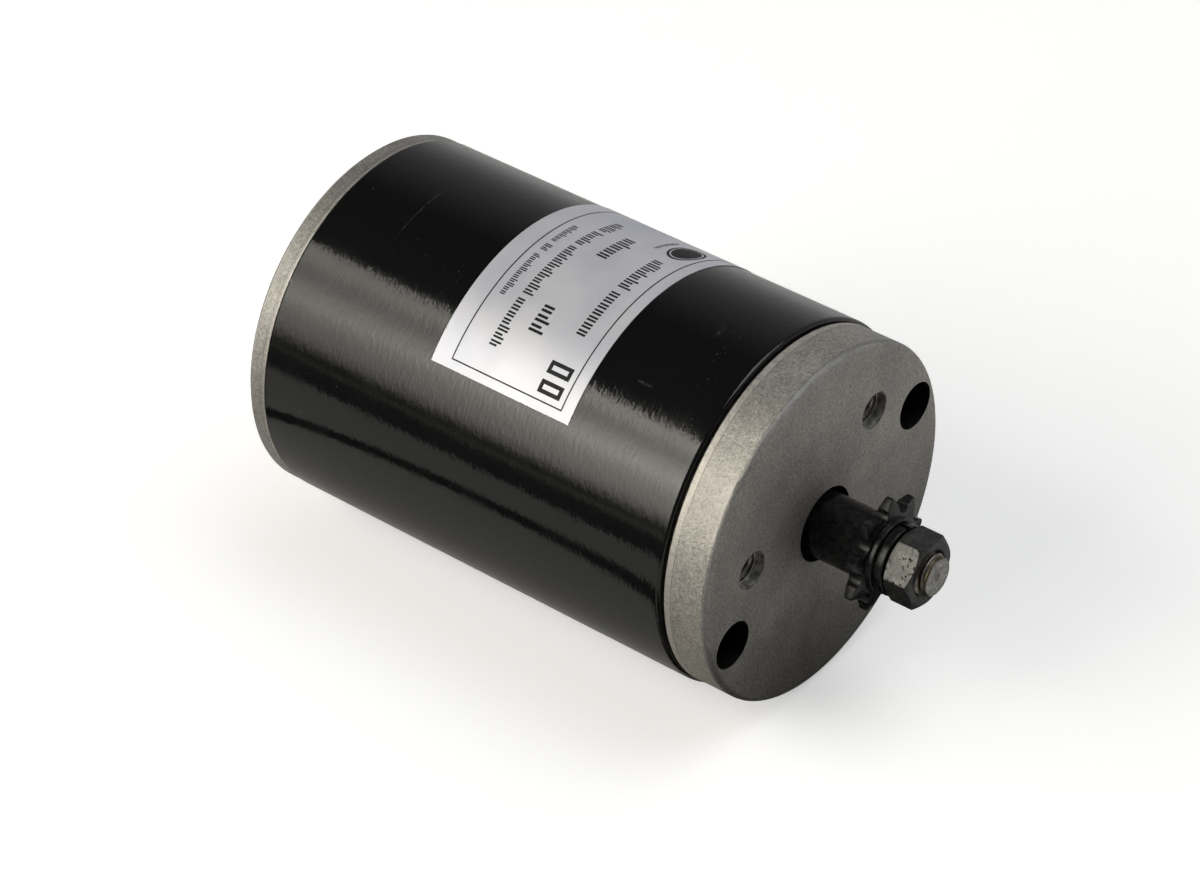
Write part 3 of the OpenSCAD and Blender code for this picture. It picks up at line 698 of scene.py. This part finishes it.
def floor_white():
    """Plain pale floor, which turns into an even white far from the motor."""
    s = Shader("floor_white")
    tone = s.noise(300, 1.0, 0.5)
    split = s.add("SeparateXYZ", {0: s.place()})
    x, y = split.outputs[0], split.outputs[1]
    away = s.math("SQRT", s.math("ADD", s.math("MULTIPLY", x, x), s.math("MULTIPLY", y, y)))
    far = s.remap(away, *FLOOR_FADE)
    near_white = s.blend(tone, grey(0.88), grey(0.90))
    s.set(Base_Color=s.blend(far, near_white, grey(0.0)), Roughness=1.0, Specular_IOR_Level=0.0,
          Emission_Color=grey(1.0), Emission_Strength=s.remap(far, 0, 1, 0.45, FAR_WHITE))
    return s.material


MATERIALS = {
    "black_paint": black_enamel(),
    "cast_aluminium": cast_aluminium("cast_front", rgb(0.475, 0.455, 0.42), rgb(0.35, 0.335, 0.31),
                                     front_cap_marks_and_painted_light),
    "cast_aluminium_rear": cast_aluminium("cast_rear", rgb(0.42, 0.405, 0.38), rgb(0.31, 0.30, 0.28),
                                          rear_cap_marks),
    "ferrite": plain_matter("ferrite", rgb(0.07, 0.07, 0.075), 0.55),
    "spring_steel": plain_metal("spring_steel", rgb(0.38, 0.40, 0.44), 0.3),
    "zinc_steel": plain_metal("zinc_steel", rgb(0.42, 0.42, 0.42), 0.42),
    "bearing_steel": plain_metal("bearing_steel", rgb(0.62, 0.62, 0.64), 0.18),
    "phenolic": plain_matter("phenolic", rgb(0.24, 0.12, 0.05), 0.5),
    "brass": plain_metal("brass", rgb(0.72, 0.52, 0.22), 0.3),
    "black_rubber": plain_matter("black_rubber", rgb(0.022, 0.022, 0.022), 0.62, 2.0, 0.3, 0.03),
    "label_foil": label_foil(),
    "bright_steel": turned_steel("bright_steel"),
    "core_steel": plain_metal("core_steel", rgb(0.32, 0.33, 0.35), 0.4),
    "insulation": plain_matter("insulation", rgb(0.75, 0.66, 0.42), 0.7),
    "enamelled_copper": plain_metal("enamelled_copper", rgb(0.50, 0.17, 0.06), 0.25),
    "bar_copper": plain_metal("bar_copper", rgb(0.72, 0.38, 0.22), 0.3),
    "black_oxide": oxide_steel(),
    "cage_nylon": plain_matter("cage_nylon", rgb(0.78, 0.74, 0.62), 0.5),
    "carbon": plain_matter("carbon", rgb(0.045, 0.045, 0.048), 0.5),
}
INK = label_ink()


def dress_cad_nodes():
    """Gives every CAD node the material of its slot."""
    for name, obj in frame["nodes"].items():
        material = MATERIALS[SLOT_OF[name]]
        if not obj.material_slots:
            obj.data.materials.append(material)
        for held in obj.material_slots:
            held.material = material


# ---- shapes ----

def at(x, r, angle):
    """Point at a place along the shaft, a radius and an angle, in millimetres and degrees."""
    a = math.radians(angle)
    return (x * MM, r * math.cos(a) * MM, r * math.sin(a) * MM)


def add_piece(name, vertices, faces, node, material=None, sharp=30, replaces=True):
    """Makes a mesh piece that rides with a CAD node's body and takes that node's slot."""
    mesh = bpy.data.meshes.new(name)
    mesh.from_pydata(vertices, [], faces)
    mesh.materials.append(material or MATERIALS[SLOT_OF[node]])
    obj = bpy.data.objects.new(name, mesh)
    bpy.context.scene.collection.objects.link(obj)
    tidy_normals(mesh, sharp)
    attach(obj, BODY_OF[node])
    if replaces:
        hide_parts(node)
    return obj


def tidy_normals(mesh, sharp):
    """Points the faces outwards and shades them smooth, with hard edges above an angle."""
    work = bmesh.new()
    work.from_mesh(mesh)
    bmesh.ops.remove_doubles(work, verts=work.verts, dist=1e-7)
    bmesh.ops.recalc_face_normals(work, faces=work.faces)
    work.to_mesh(mesh)
    work.free()
    mesh.shade_smooth()
    mesh.set_sharp_from_angle(angle=math.radians(sharp))


def rounded(corners, steps=5):
    """Turns (x, r, fillet) corners into a profile with an arc at each corner that has a fillet."""
    points = []
    count = len(corners)
    for i, (x, r, fillet) in enumerate(corners):
        here = Vector((x, r))
        if fillet <= 0 or i in (0, count - 1):
            points.append(here)
            continue
        before = (Vector(corners[i - 1][:2]) - here).normalized()
        after = (Vector(corners[i + 1][:2]) - here).normalized()
        half = before.angle(after) / 2
        reach = fillet / math.tan(half)
        centre = here + (before + after).normalized() * fillet / math.sin(half)
        start, end = here + before * reach - centre, here + after * reach - centre
        turn = start.angle_signed(end)
        for k in range(steps + 1):
            arm = start.copy()
            arm.rotate(Matrix.Rotation(-turn * k / steps, 2))
            points.append(centre + arm)
    return points


def curved_strip(x0, x1, a0, a1, r_in, r_out, step=1.5):
    """Thin slab wrapped around the can, from x0 to x1 and from angle a0 to a1."""
    count = max(1, math.ceil(abs(a1 - a0) / step))
    vertices, faces = [], []
    for k in range(count + 1):
        a = a0 + (a1 - a0) * k / count
        vertices += [at(x0, r_in, a), at(x1, r_in, a), at(x1, r_out, a), at(x0, r_out, a)]
    for k in range(count):
        b, n = 4 * k, 4 * k + 4
        for i in range(4):
            j = (i + 1) % 4
            faces.append((b + i, b + j, n + j, n + i))
    faces += [(0, 1, 2, 3), (4 * count + 3, 4 * count + 2, 4 * count + 1, 4 * count)]
    return vertices, faces


def joined(shapes):
    """One list of vertices and faces from several."""
    vertices, faces = [], []
    for v, f in shapes:
        base = len(vertices)
        vertices += v
        faces += [tuple(i + base for i in face) for face in f]
    return vertices, faces


# ---- housing pieces ----

def can_piece():
    """Can whose rolled front lip is flush with its side, without the CAD's small rise."""
    source = frame["nodes"]["motor_can"]
    roll_start = CAN_R + LIP_RISE - LIP_ROLL
    vertices = []
    for vertex in source.data.vertices:
        x, y, z = source.matrix_world @ vertex.co
        r = math.hypot(y, z) / MM
        scale = 1.0
        if r > roll_start and x / MM > CAN_FRONT - 2:
            scale = (roll_start + (r - roll_start) * (1 - LIP_RISE / LIP_ROLL)) / r
        vertices.append((x, y * scale, z * scale))
    faces = [tuple(face.vertices) for face in source.data.polygons]
    add_piece("can_shell", vertices, faces, "motor_can", sharp=35)


# Radii of the label's underside, its foil and its ink, and the angles where it starts and ends
LABEL_R = 34.01
FOIL_R = 34.12
INK_R = 34.13
LABEL_ANGLES = (40.0, 142.6)
# Rows of the print: middle of the row, height, and the first and last angle of each word
ROW_X = -40.4
LABEL_ROWS = [
    (ROW_X, 2.6, [(80.4, 98.5), (100.2, 118.5)]),
    (-48.6, 3.0, [(75.7, 90.8), (113.5, 123.7)]),
    (-54.3, 2.2, [(68.6, 78.5), (79.7, 89.5), (90.7, 113.8), (115.0, 132.0)]),
    (-58.35, 1.5, [(81.4, 92.5), (94.0, 97.5), (99.3, 116.8)]),
    (-44.6, 0.7, [(61.5, 74.0)]),
]


def label_pieces():
    """Foil label and its generic print: a thin frame, thin bars for words, an oval and rectangles."""
    x0, x1 = extent("rating_label")
    a0, a1 = LABEL_ANGLES
    v, f = curved_strip(x0, x1, a0, a1, LABEL_R, FOIL_R, 1.0)
    add_piece("label_foil", v, f, "rating_label")

    def strip(xa, xb, ta, tb):
        return curved_strip(xa, xb, ta, tb, FOIL_R - 0.01, INK_R, 1.0)

    shapes = hollow_block(strip, x0 + 3.7, x1 - 2.2, a0 + 4, a1 - 2.7, 0.26)
    shapes.append(oval(ROW_X, 67.5, 2.8, 8.0, 0.86, FOIL_R, INK_R))
    shapes.append(oval(ROW_X, 67.5, 2.2, 6.3, 0.0, FOIL_R, INK_R))
    for x, height, words in LABEL_ROWS:
        for start, end in words:
            shapes += word_bars(strip, x, height, start, end)
    for start in (127.6, 133.6):
        shapes += hollow_block(strip, -42.7, -37.9, start, start + 4.0, 0.75)
    v, f = joined(shapes)
    add_piece("label_print", v, f, "rating_label", INK, replaces=False)


def oval(x, angle, half_x, half_angle, hollow, r_in, r_out):
    """Thin oval slab on the can, or an oval ring where hollow is above 0."""
    steps, turns = 4, 48
    shares = [hollow + (1 - hollow) * max(i / steps, 0.02) for i in range(steps + 1)]

    def loop(share, r):
        return [at(x + half_x * share * math.cos(2 * math.pi * k / turns), r,
                   angle + half_angle * share * math.sin(2 * math.pi * k / turns))
                for k in range(turns)]

    rings = [loop(share, r_in - 0.01) for share in shares]
    rings += [loop(share, r_out) for share in shares[::-1]]
    if hollow > 0:
        return skin(rings + [rings[0]])
    return skin(rings, True, True)


def hollow_block(strip, x0, x1, a0, a1, line):
    """Plain rectangular outline on the label."""
    turn = math.degrees(line / CAN_R)
    return [
        strip(x0, x0 + line, a0, a1),
        strip(x1 - line, x1, a0, a1),
        strip(x0, x1, a0, a0 + turn),
        strip(x0, x1, a1 - turn, a1),
    ]


def word_bars(strip, x, height, start, end):
    """Row of plain thin bars of different heights that fills a word's place without spelling it."""
    dice = random.Random(round(start * 10 + height * 1000 - x * 7))
    shapes = []
    pitch = height * 0.62
    count = max(2, round((end - start) * math.radians(CAN_R) / pitch))
    width = (end - start) / count
    foot = x - height / 2
    for k in range(count):
        for share in (0.0, 0.44):
            tall = dice.choice((0.72, 0.72, 1.0))
            a = start + (k + share) * width
            shapes.append(strip(foot, foot + height * tall, a, a + width * 0.27))
    return shapes


def thread_wall(x0, x1, r_low, r_high, centre=(0.0, 0.0), inner=False):
    """Rings of an M-thread: a tube whose radius follows a V that winds around it.

    The V dies out over the last turn at both ends. An inner thread points towards the axis.
    """
    pitch = M8_PITCH if not inner else M6_PITCH
    turns, per_pitch = 96, 14
    rows = round((x1 - x0) / pitch * per_pitch)
    cy, cz = centre
    rings = []
    for i in range(rows + 1):
        x = x0 + (x1 - x0) * i / rows
        fade = max(0.0, min(1.0, (x - x0) / pitch, (x1 - x) / pitch))
        ring = []
        for k in range(turns):
            phase = (x / pitch - k / turns) % 1.0
            ridge = min(1.0, max(0.0, 1.2 - abs(phase - 0.5) * 2.9)) * fade
            r = r_high - (r_high - r_low) * ridge if inner else r_low + (r_high - r_low) * ridge
            a = 2 * math.pi * k / turns
            ring.append((x * MM, (cy + r * math.cos(a)) * MM, (cz + r * math.sin(a)) * MM))
        rings.append(ring)
    return rings


def skin(rings, close_start=False, close_end=False):
    """Vertices and faces of a tube through rings of equally many points."""
    n = len(rings[0])
    vertices = [p for ring in rings for p in ring]
    faces = [(i * n + k, i * n + (k + 1) % n, (i + 1) * n + (k + 1) % n, (i + 1) * n + k)
             for i in range(len(rings) - 1) for k in range(n)]
    if close_start:
        faces.append(tuple(range(n)))
    if close_end:
        faces.append(tuple(range(len(vertices) - n, len(vertices))))
    return vertices, faces


def round_rings(profile, turns=96):
    """Rings around the shaft for each (x, r) of a profile."""
    return [[at(x, r, 360 * k / turns) for k in range(turns)] for x, r in profile]


def shaft_piece():
    """Turned shaft with a cut thread on its end, a rounded rim and a faced end."""
    x0, tip = extent("shaft")
    sprocket_x1 = extent("sprocket")[1]
    start = [(x0, 0.0, 0), (x0, REAR_JOURNAL_R, 0.3), (REAR_STEP, REAR_JOURNAL_R, 0.05),
             (REAR_STEP, SHAFT_MID_R, 0.3), (FRONT_STEP, SHAFT_MID_R, 0.3),
             (FRONT_STEP, JOURNAL_R, 0.05)]
    body = rounded(start + [(sprocket_x1 - 0.6, JOURNAL_R, 0), (sprocket_x1 - 0.2, THREAD_ROOT_R, 0)])
    rings = round_rings([(p[0], max(p[1], 0.001)) for p in body])
    rings += thread_wall(sprocket_x1, tip - 0.35, THREAD_ROOT_R, THREAD_CREST_R)
    end = rounded([(tip - 0.34, THREAD_ROOT_R + 0.1, 0), (tip - 0.3, THREAD_ROOT_R + 0.15, 0),
                   (tip, THREAD_ROOT_R - 0.02, 0.16), (tip, 1.2, 0), (tip - 0.1, 0.7, 0),
                   (tip - 0.1, 0.001, 0)])
    rings += round_rings(end)
    v, f = skin(rings, close_start=True, close_end=True)
    add_piece("shaft_turned", v, f, "shaft", thread_steel(), sharp=35)


def tapped_holes():
    """Cut M6 thread on the wall of both mounting holes, behind their plain entries."""
    for number, side in enumerate((-1, 1), 1):
        centre = hole_centre(side * TAPPED_U, TAPPED_V)
        rings = thread_wall(HOLE_END, -ENTRY_DEPTH + 0.02, M6_CREST_R, M6_ROOT_R, centre, inner=True)
        outer = []
        for ring in (rings[-1], rings[0]):
            turns = [2 * math.pi * k / len(ring) for k in range(len(ring))]
            outer.append([(ring[0][0], (centre[0] + THREAD_OUTER_R * math.cos(a)) * MM,
                           (centre[1] + THREAD_OUTER_R * math.sin(a)) * MM) for a in turns])
        v, f = skin(rings + outer + [rings[0]])
        add_piece("tapped_thread_%d" % number, v, f, "front_end_cap", cut_aluminium(), 35, False)


def hexagon_r(angle, half_af, corner_round):
    """Distance from the axis to a hexagon with rounded corners; a flat is at angle 0."""
    off = (angle + 30) % 60 - 30
    straight = (half_af - corner_round) * math.tan(math.radians(30))
    if abs(off) <= math.degrees(math.atan2(straight, half_af)):
        return half_af / math.cos(math.radians(off))
    centre = (half_af - corner_round) / math.cos(math.radians(30))
    d = math.radians(30 - abs(off))
    return centre * math.cos(d) + math.sqrt(corner_round ** 2 - (centre * math.sin(d)) ** 2)


def nut_piece():
    """Hexagon nut: turned chamfers that cut arcs into the flats, countersunk thread, soft edges."""
    x0, x1 = extent("hex_nut")
    chamfer_r = NUT_AF / 2 - 0.12
    bore, sink = JOURNAL_R + 0.03, JOURNAL_R + 0.45
    flat_angle = NUT_CORNER_ANGLE + 30
    columns = []
    steps = 14
    for flat in range(6):
        for k in range(steps):
            t = 2 * (k + 0.5) / steps - 1
            bunched = math.copysign(1 - (1 - abs(t)) ** 1.6, t)
            columns.append(flat * 60 + 30 * bunched)
    rings = []
    for off in columns:
        r = hexagon_r(off, NUT_AF / 2, 0.28)
        drop = max(0.02, (r - chamfer_r) * math.tan(math.radians(30)))
        profile = rounded([
            (x0 + 0.4, bore, 0), (x0, sink, 0.05), (x0, chamfer_r - 0.06, 0.1), (x0 + drop, r, 0.09),
            (x1 - drop, r, 0.09), (x1, chamfer_r - 0.06, 0.1), (x1, sink, 0.08),
            (x1 - 0.45, bore, 0)], 4)
        rings.append([at(p[0], p[1], off + flat_angle) for p in profile])
    v, f = skin(rings + [rings[0]])
    n = len(rings[0])
    f = [face for face in f if not ({i % n for i in face} == {0, n - 1})]
    bore_faces = [(i * n, ((i + 1) % len(rings)) * n, ((i + 1) % len(rings)) * n + n - 1, i * n + n - 1)
                  for i in range(len(rings))]
    add_piece("nut", v, f + bore_faces, "hex_nut", nut_finish(flat_angle + 60), sharp=28)


def washer_piece():
    """Spring washer: a rounded bar bent into a split ring, its ends a little apart."""
    x0, x1 = extent("spring_washer")
    r_in, r_out = JOURNAL_R + 0.18, WASHER_R
    half_gap = math.degrees(WASHER_GAP / 2 / WASHER_R)
    twist = 0.10
    section = rounded_box((x0 + twist, r_in), (x1 - twist, r_out), 0.28)
    steps = 120
    rings = []
    for k in range(steps + 1):
        t = k / steps
        a = WASHER_GAP_ANGLE + half_gap + t * (360 - 2 * half_gap)
        shift = twist * (2 * t - 1)
        rings.append([at(x + shift, r, a) for x, r in section])
    v, f = skin(rings, True, True)
    add_piece("spring_washer_split", v, f, "spring_washer", sharp=40)


def rounded_box(low, high, r, steps=4):
    """Closed outline of a rectangle with round corners."""
    (x0, y0), (x1, y1) = low, high
    points = []
    centres = [(x1 - r, y1 - r, 0), (x0 + r, y1 - r, 90), (x0 + r, y0 + r, 180), (x1 - r, y0 + r, 270)]
    for cx, cy, first in centres:
        for k in range(steps + 1):
            a = math.radians(first + 90 * k / steps)
            points.append((cx + r * math.cos(a), cy + r * math.sin(a)))
    return points


def tooth_outline(pitch_r, tip_r):
    """Closed toothed outline: a round roller seat and two straight sides in each gap."""
    half = math.radians(180 / TEETH)
    tip = (tip_r * math.cos(half) + TIP_LAND / 2 * math.sin(half),
           tip_r * math.sin(half) - TIP_LAND / 2 * math.cos(half))
    reach = math.radians(80)
    corners = []
    for gap in range(TEETH):
        turn = math.radians(TOOTH_ANGLE) + half * (2 * gap + 1)
        arc = [math.pi + reach * (2 * k / 10 - 1) for k in range(11)]
        local = [(pitch_r + ROLLER_R * math.cos(a), -ROLLER_R * math.sin(a), 0) for a in arc]
        local = [(tip[0], -tip[1], 0.1)] + sorted(local, key=lambda p: p[1]) + [(tip[0], tip[1], 0.1)]
        for u, v, fillet in local:
            corners.append((u * math.cos(turn) - v * math.sin(turn),
                            u * math.sin(turn) + v * math.cos(turn), fillet))
    # The outline starts and ends in a roller seat, where no corner is rounded
    in_seat = 6
    corners = corners[in_seat:] + corners[:in_seat]
    return rounded(corners + [corners[0]], 4)[:-1]


def sprocket_piece():
    """Chain sprocket: hub, nose and bevelled teeth in one skin with soft edges."""
    x0, x1 = extent("sprocket")
    pitch_r = CHAIN_PITCH / 2 / math.sin(math.radians(180 / TEETH))
    tip_r = pitch_r + ADDENDUM
    root = pitch_r - ROLLER_R - 0.12
    rear, front = PLATE_X - PLATE_T / 2, PLATE_X + PLATE_T / 2
    bore = JOURNAL_R + 0.03
    rings = []
    for y, z in tooth_outline(pitch_r, tip_r):
        r = math.hypot(y, z)
        angle = math.degrees(math.atan2(z, y))
        bevel = TOOTH_BEVEL * max(0.02, (r - root) / (tip_r - root))
        profile = rounded([
            (x1, bore, 0), (x1, NOSE_R, 0.25), (front, NOSE_R, 0.12), (front, root, 0),
            (front - bevel, r, 0.11), (rear + bevel, r, 0.11), (rear, root, 0),
            (rear, HUB_R, 0.35), (x0, HUB_R, 0.3), (x0, bore, 0)], 4)
        rings.append([at(p[0], p[1], angle) for p in profile])
    v, f = skin(rings + [rings[0]])
    add_piece("chain_sprocket", v, f, "sprocket", sharp=30)


def grommet_piece():
    """Rubber grommet saddled on the can's side, with a round flange and a lead hole."""
    low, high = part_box("lead_grommet")
    centre_x = (low.x + high.x) / 2 / MM
    flange_r = (high.x - low.x) / 2 / MM
    inner, outer = low.y / MM, high.y / MM
    rings = []
    for k in range(72):
        a = 2 * math.pi * k / 72

        def wall(radius, r):
            return math.sqrt(radius ** 2 - (r * math.sin(a)) ** 2)

        neck, hole = GROMMET_NECK_R, LEAD_HOLE_R
        inside, outside = CAN_R - CAN_WALL - 0.03, CAN_R + 0.03
        profile = rounded([
            (inner, hole, 0), (inner, flange_r, 0.35), (wall(inside, flange_r), flange_r, 0.1),
            (wall(inside, neck), neck, 0.1), (wall(outside, neck), neck, 0.1),
            (wall(outside, flange_r), flange_r, 0.12), (outer, flange_r, 0.6), (outer, hole, 0.45),
            (outer - 1.5, hole, 0)])
        rings.append([((centre_x + r * math.cos(a)) * MM, y * MM, r * math.sin(a) * MM)
                      for y, r in profile])
    v, f = skin(rings + [rings[0]])
    add_piece("grommet", v, f, "lead_grommet", sharp=45)


def brush_springs():
    """Coil springs with closed ends."""
    along = Vector((1, 0, 0))
    start, end = SPRING_SPAN
    steps, sides, closed = SPRING_TURNS * 24, 10, 0.7
    for number, turn in enumerate((0, 180), 1):
        a = math.radians(BRUSH_ANGLE + turn)
        out = Vector((0, math.cos(a), math.sin(a)))
        across = Vector((0, -math.sin(a), math.cos(a)))
        rings = []
        for i in range(steps + 1):
            turned = SPRING_TURNS * i / steps
            rise = max(0.0, min(1.0, (turned - closed) / (SPRING_TURNS - 2 * closed)))
            b = 2 * math.pi * turned
            arm = across * math.cos(b) + along * math.sin(b)
            centre = along * BRUSH_X + out * (start + (end - start) * rise) + arm * SPRING_R
            rings.append([tuple((centre + (arm * math.cos(c) + out * math.sin(c)) * SPRING_WIRE_R) * MM)
                          for c in [2 * math.pi * k / sides for k in range(sides)]])
        v, f = skin(rings, True, True)
        spring = add_piece("spring_coil_%d" % number, v, f, "brush_spring_%d" % number, sharp=60)
        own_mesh(spring)


def nut_finish(worn_angle):
    """Black oxide with one flat rubbed bright and pitted, and thin wear on the edges."""
    s = Shader("nut_oxide")
    a = math.radians(worn_angle)
    _, _, split = s.along()
    towards = s.math("ADD", s.math("MULTIPLY", split.outputs[1], math.cos(a)),
                     s.math("MULTIPLY", split.outputs[2], math.sin(a)))
    ragged = s.math("MULTIPLY", s.math("SUBTRACT", s.noise(0.9, 3.0, 0.6), 0.5), 0.12)
    flat = s.remap(s.math("ADD", towards, ragged), NUT_AF / 2 - 0.07, NUT_AF / 2 - 0.03)
    pits = s.remap(s.noise(0.62, 2.0, 0.55), 0.57, 0.62)
    in_middle = s.remap(s.noise(3.2, 1.0, 0.5), 0.42, 0.55)
    pits = s.math("MULTIPLY", pits, in_middle)
    grain = s.noise(0.14, 3.0, 0.7)
    soft = s.noise(1.6, 2.0, 0.6)
    bright = s.blend(s.remap(soft, 0.3, 0.7), rgb(0.12, 0.122, 0.118), rgb(0.21, 0.212, 0.205))
    bright = s.blend(s.remap(grain, 0.35, 0.65, 0.0, 0.6), bright, rgb(0.07, 0.068, 0.06))
    bright = s.blend(pits, bright, rgb(0.015, 0.015, 0.015))
    oil = s.remap(s.noise(1.1, 3.0, 0.65), 0.42, 0.72)
    dark = s.blend(oil, rgb(0.022, 0.023, 0.026), rgb(0.075, 0.07, 0.06))
    lines = s.remap(s.noise(0.5, 3.0, 0.7, (1, 0.25, 0.25)), 0.62, 0.70, 0.0, 0.4)
    dark = s.blend(lines, dark, rgb(0.14, 0.13, 0.11))
    rough = s.remap(grain, 0.3, 0.7, 0.30, 0.46)
    normal = s.bump(s.math("SUBTRACT", grain, s.math("MULTIPLY", pits, flat)), 0.02)
    metallic = s.math("MULTIPLY", s.math("ADD", flat, 0.6), 0.6)
    s.set(Base_Color=s.blend(flat, dark, bright), Metallic=metallic,
          Roughness=s.math("ADD", rough, s.math("MULTIPLY", flat, 0.1)), Normal=normal)
    return s.material


def cut_aluminium():
    """Freshly cut aluminium with fine turning lines and dark oil in its roots."""
    s = Shader("cut_aluminium")
    stain = s.remap(s.noise(0.8, 3.0, 0.6), 0.42, 0.62)
    fine = s.noise(0.12, 2.0, 0.6, (1, 0.2, 0.2))
    s.set(Base_Color=s.blend(stain, rgb(0.40, 0.39, 0.37), rgb(0.18, 0.175, 0.165)), Metallic=0.9,
          Roughness=s.remap(fine, 0.3, 0.7, 0.28, 0.4), Normal=s.bump(fine, 0.006))
    return s.material


def thread_steel():
    """Cut steel thread: bright crests, brown rust in the roots, and a faced grey end."""
    s = Shader("thread_steel")
    along, _, split = s.along()
    r = s.off_axis(split)
    fine = s.noise(0.2, 3.0, 0.65)
    stain = s.noise(1.3, 3.0, 0.65)
    rings = s.noise(0.22, 2.0, 0.6, (0.3, 1, 1))
    root = s.remap(s.math("ADD", r, s.math("MULTIPLY", stain, 0.5)), 3.75, 4.15, 1.0, 0.0)
    face = s.remap(along, TIP_X - 0.12, TIP_X - 0.05)
    steel = s.blend(s.remap(stain, 0.35, 0.65), rgb(0.30, 0.30, 0.295), rgb(0.44, 0.44, 0.43))
    steel = s.blend(s.remap(fine, 0.55, 0.72, 0.0, 0.5), steel, rgb(0.16, 0.15, 0.13))
    mottle = s.remap(s.noise(0.7, 3.0, 0.6), 0.45, 0.62, 0.0, 0.7)
    steel = s.blend(mottle, steel, rgb(0.15, 0.135, 0.105))
    rusty = s.blend(s.remap(fine, 0.3, 0.7), rgb(0.06, 0.045, 0.028), rgb(0.19, 0.155, 0.11))
    colour = s.blend(s.math("MULTIPLY", root, s.math("SUBTRACT", 1.0, face)), steel, rusty)
    s.set(Base_Color=colour, Metallic=0.85, Roughness=s.remap(fine, 0.3, 0.7, 0.30, 0.48),
          Normal=s.bump(s.math("ADD", fine, rings), 0.010))
    return s.material


dress_cad_nodes()
can_piece()
label_pieces()
tapped_holes()
shaft_piece()
sprocket_piece()
washer_piece()
nut_piece()
grommet_piece()
brush_springs()
place_camera()
make_floor()
make_backdrop()
make_window()
make_top_light()
light_the_room()

scene = bpy.context.scene
scene.view_settings.view_transform = "Standard"
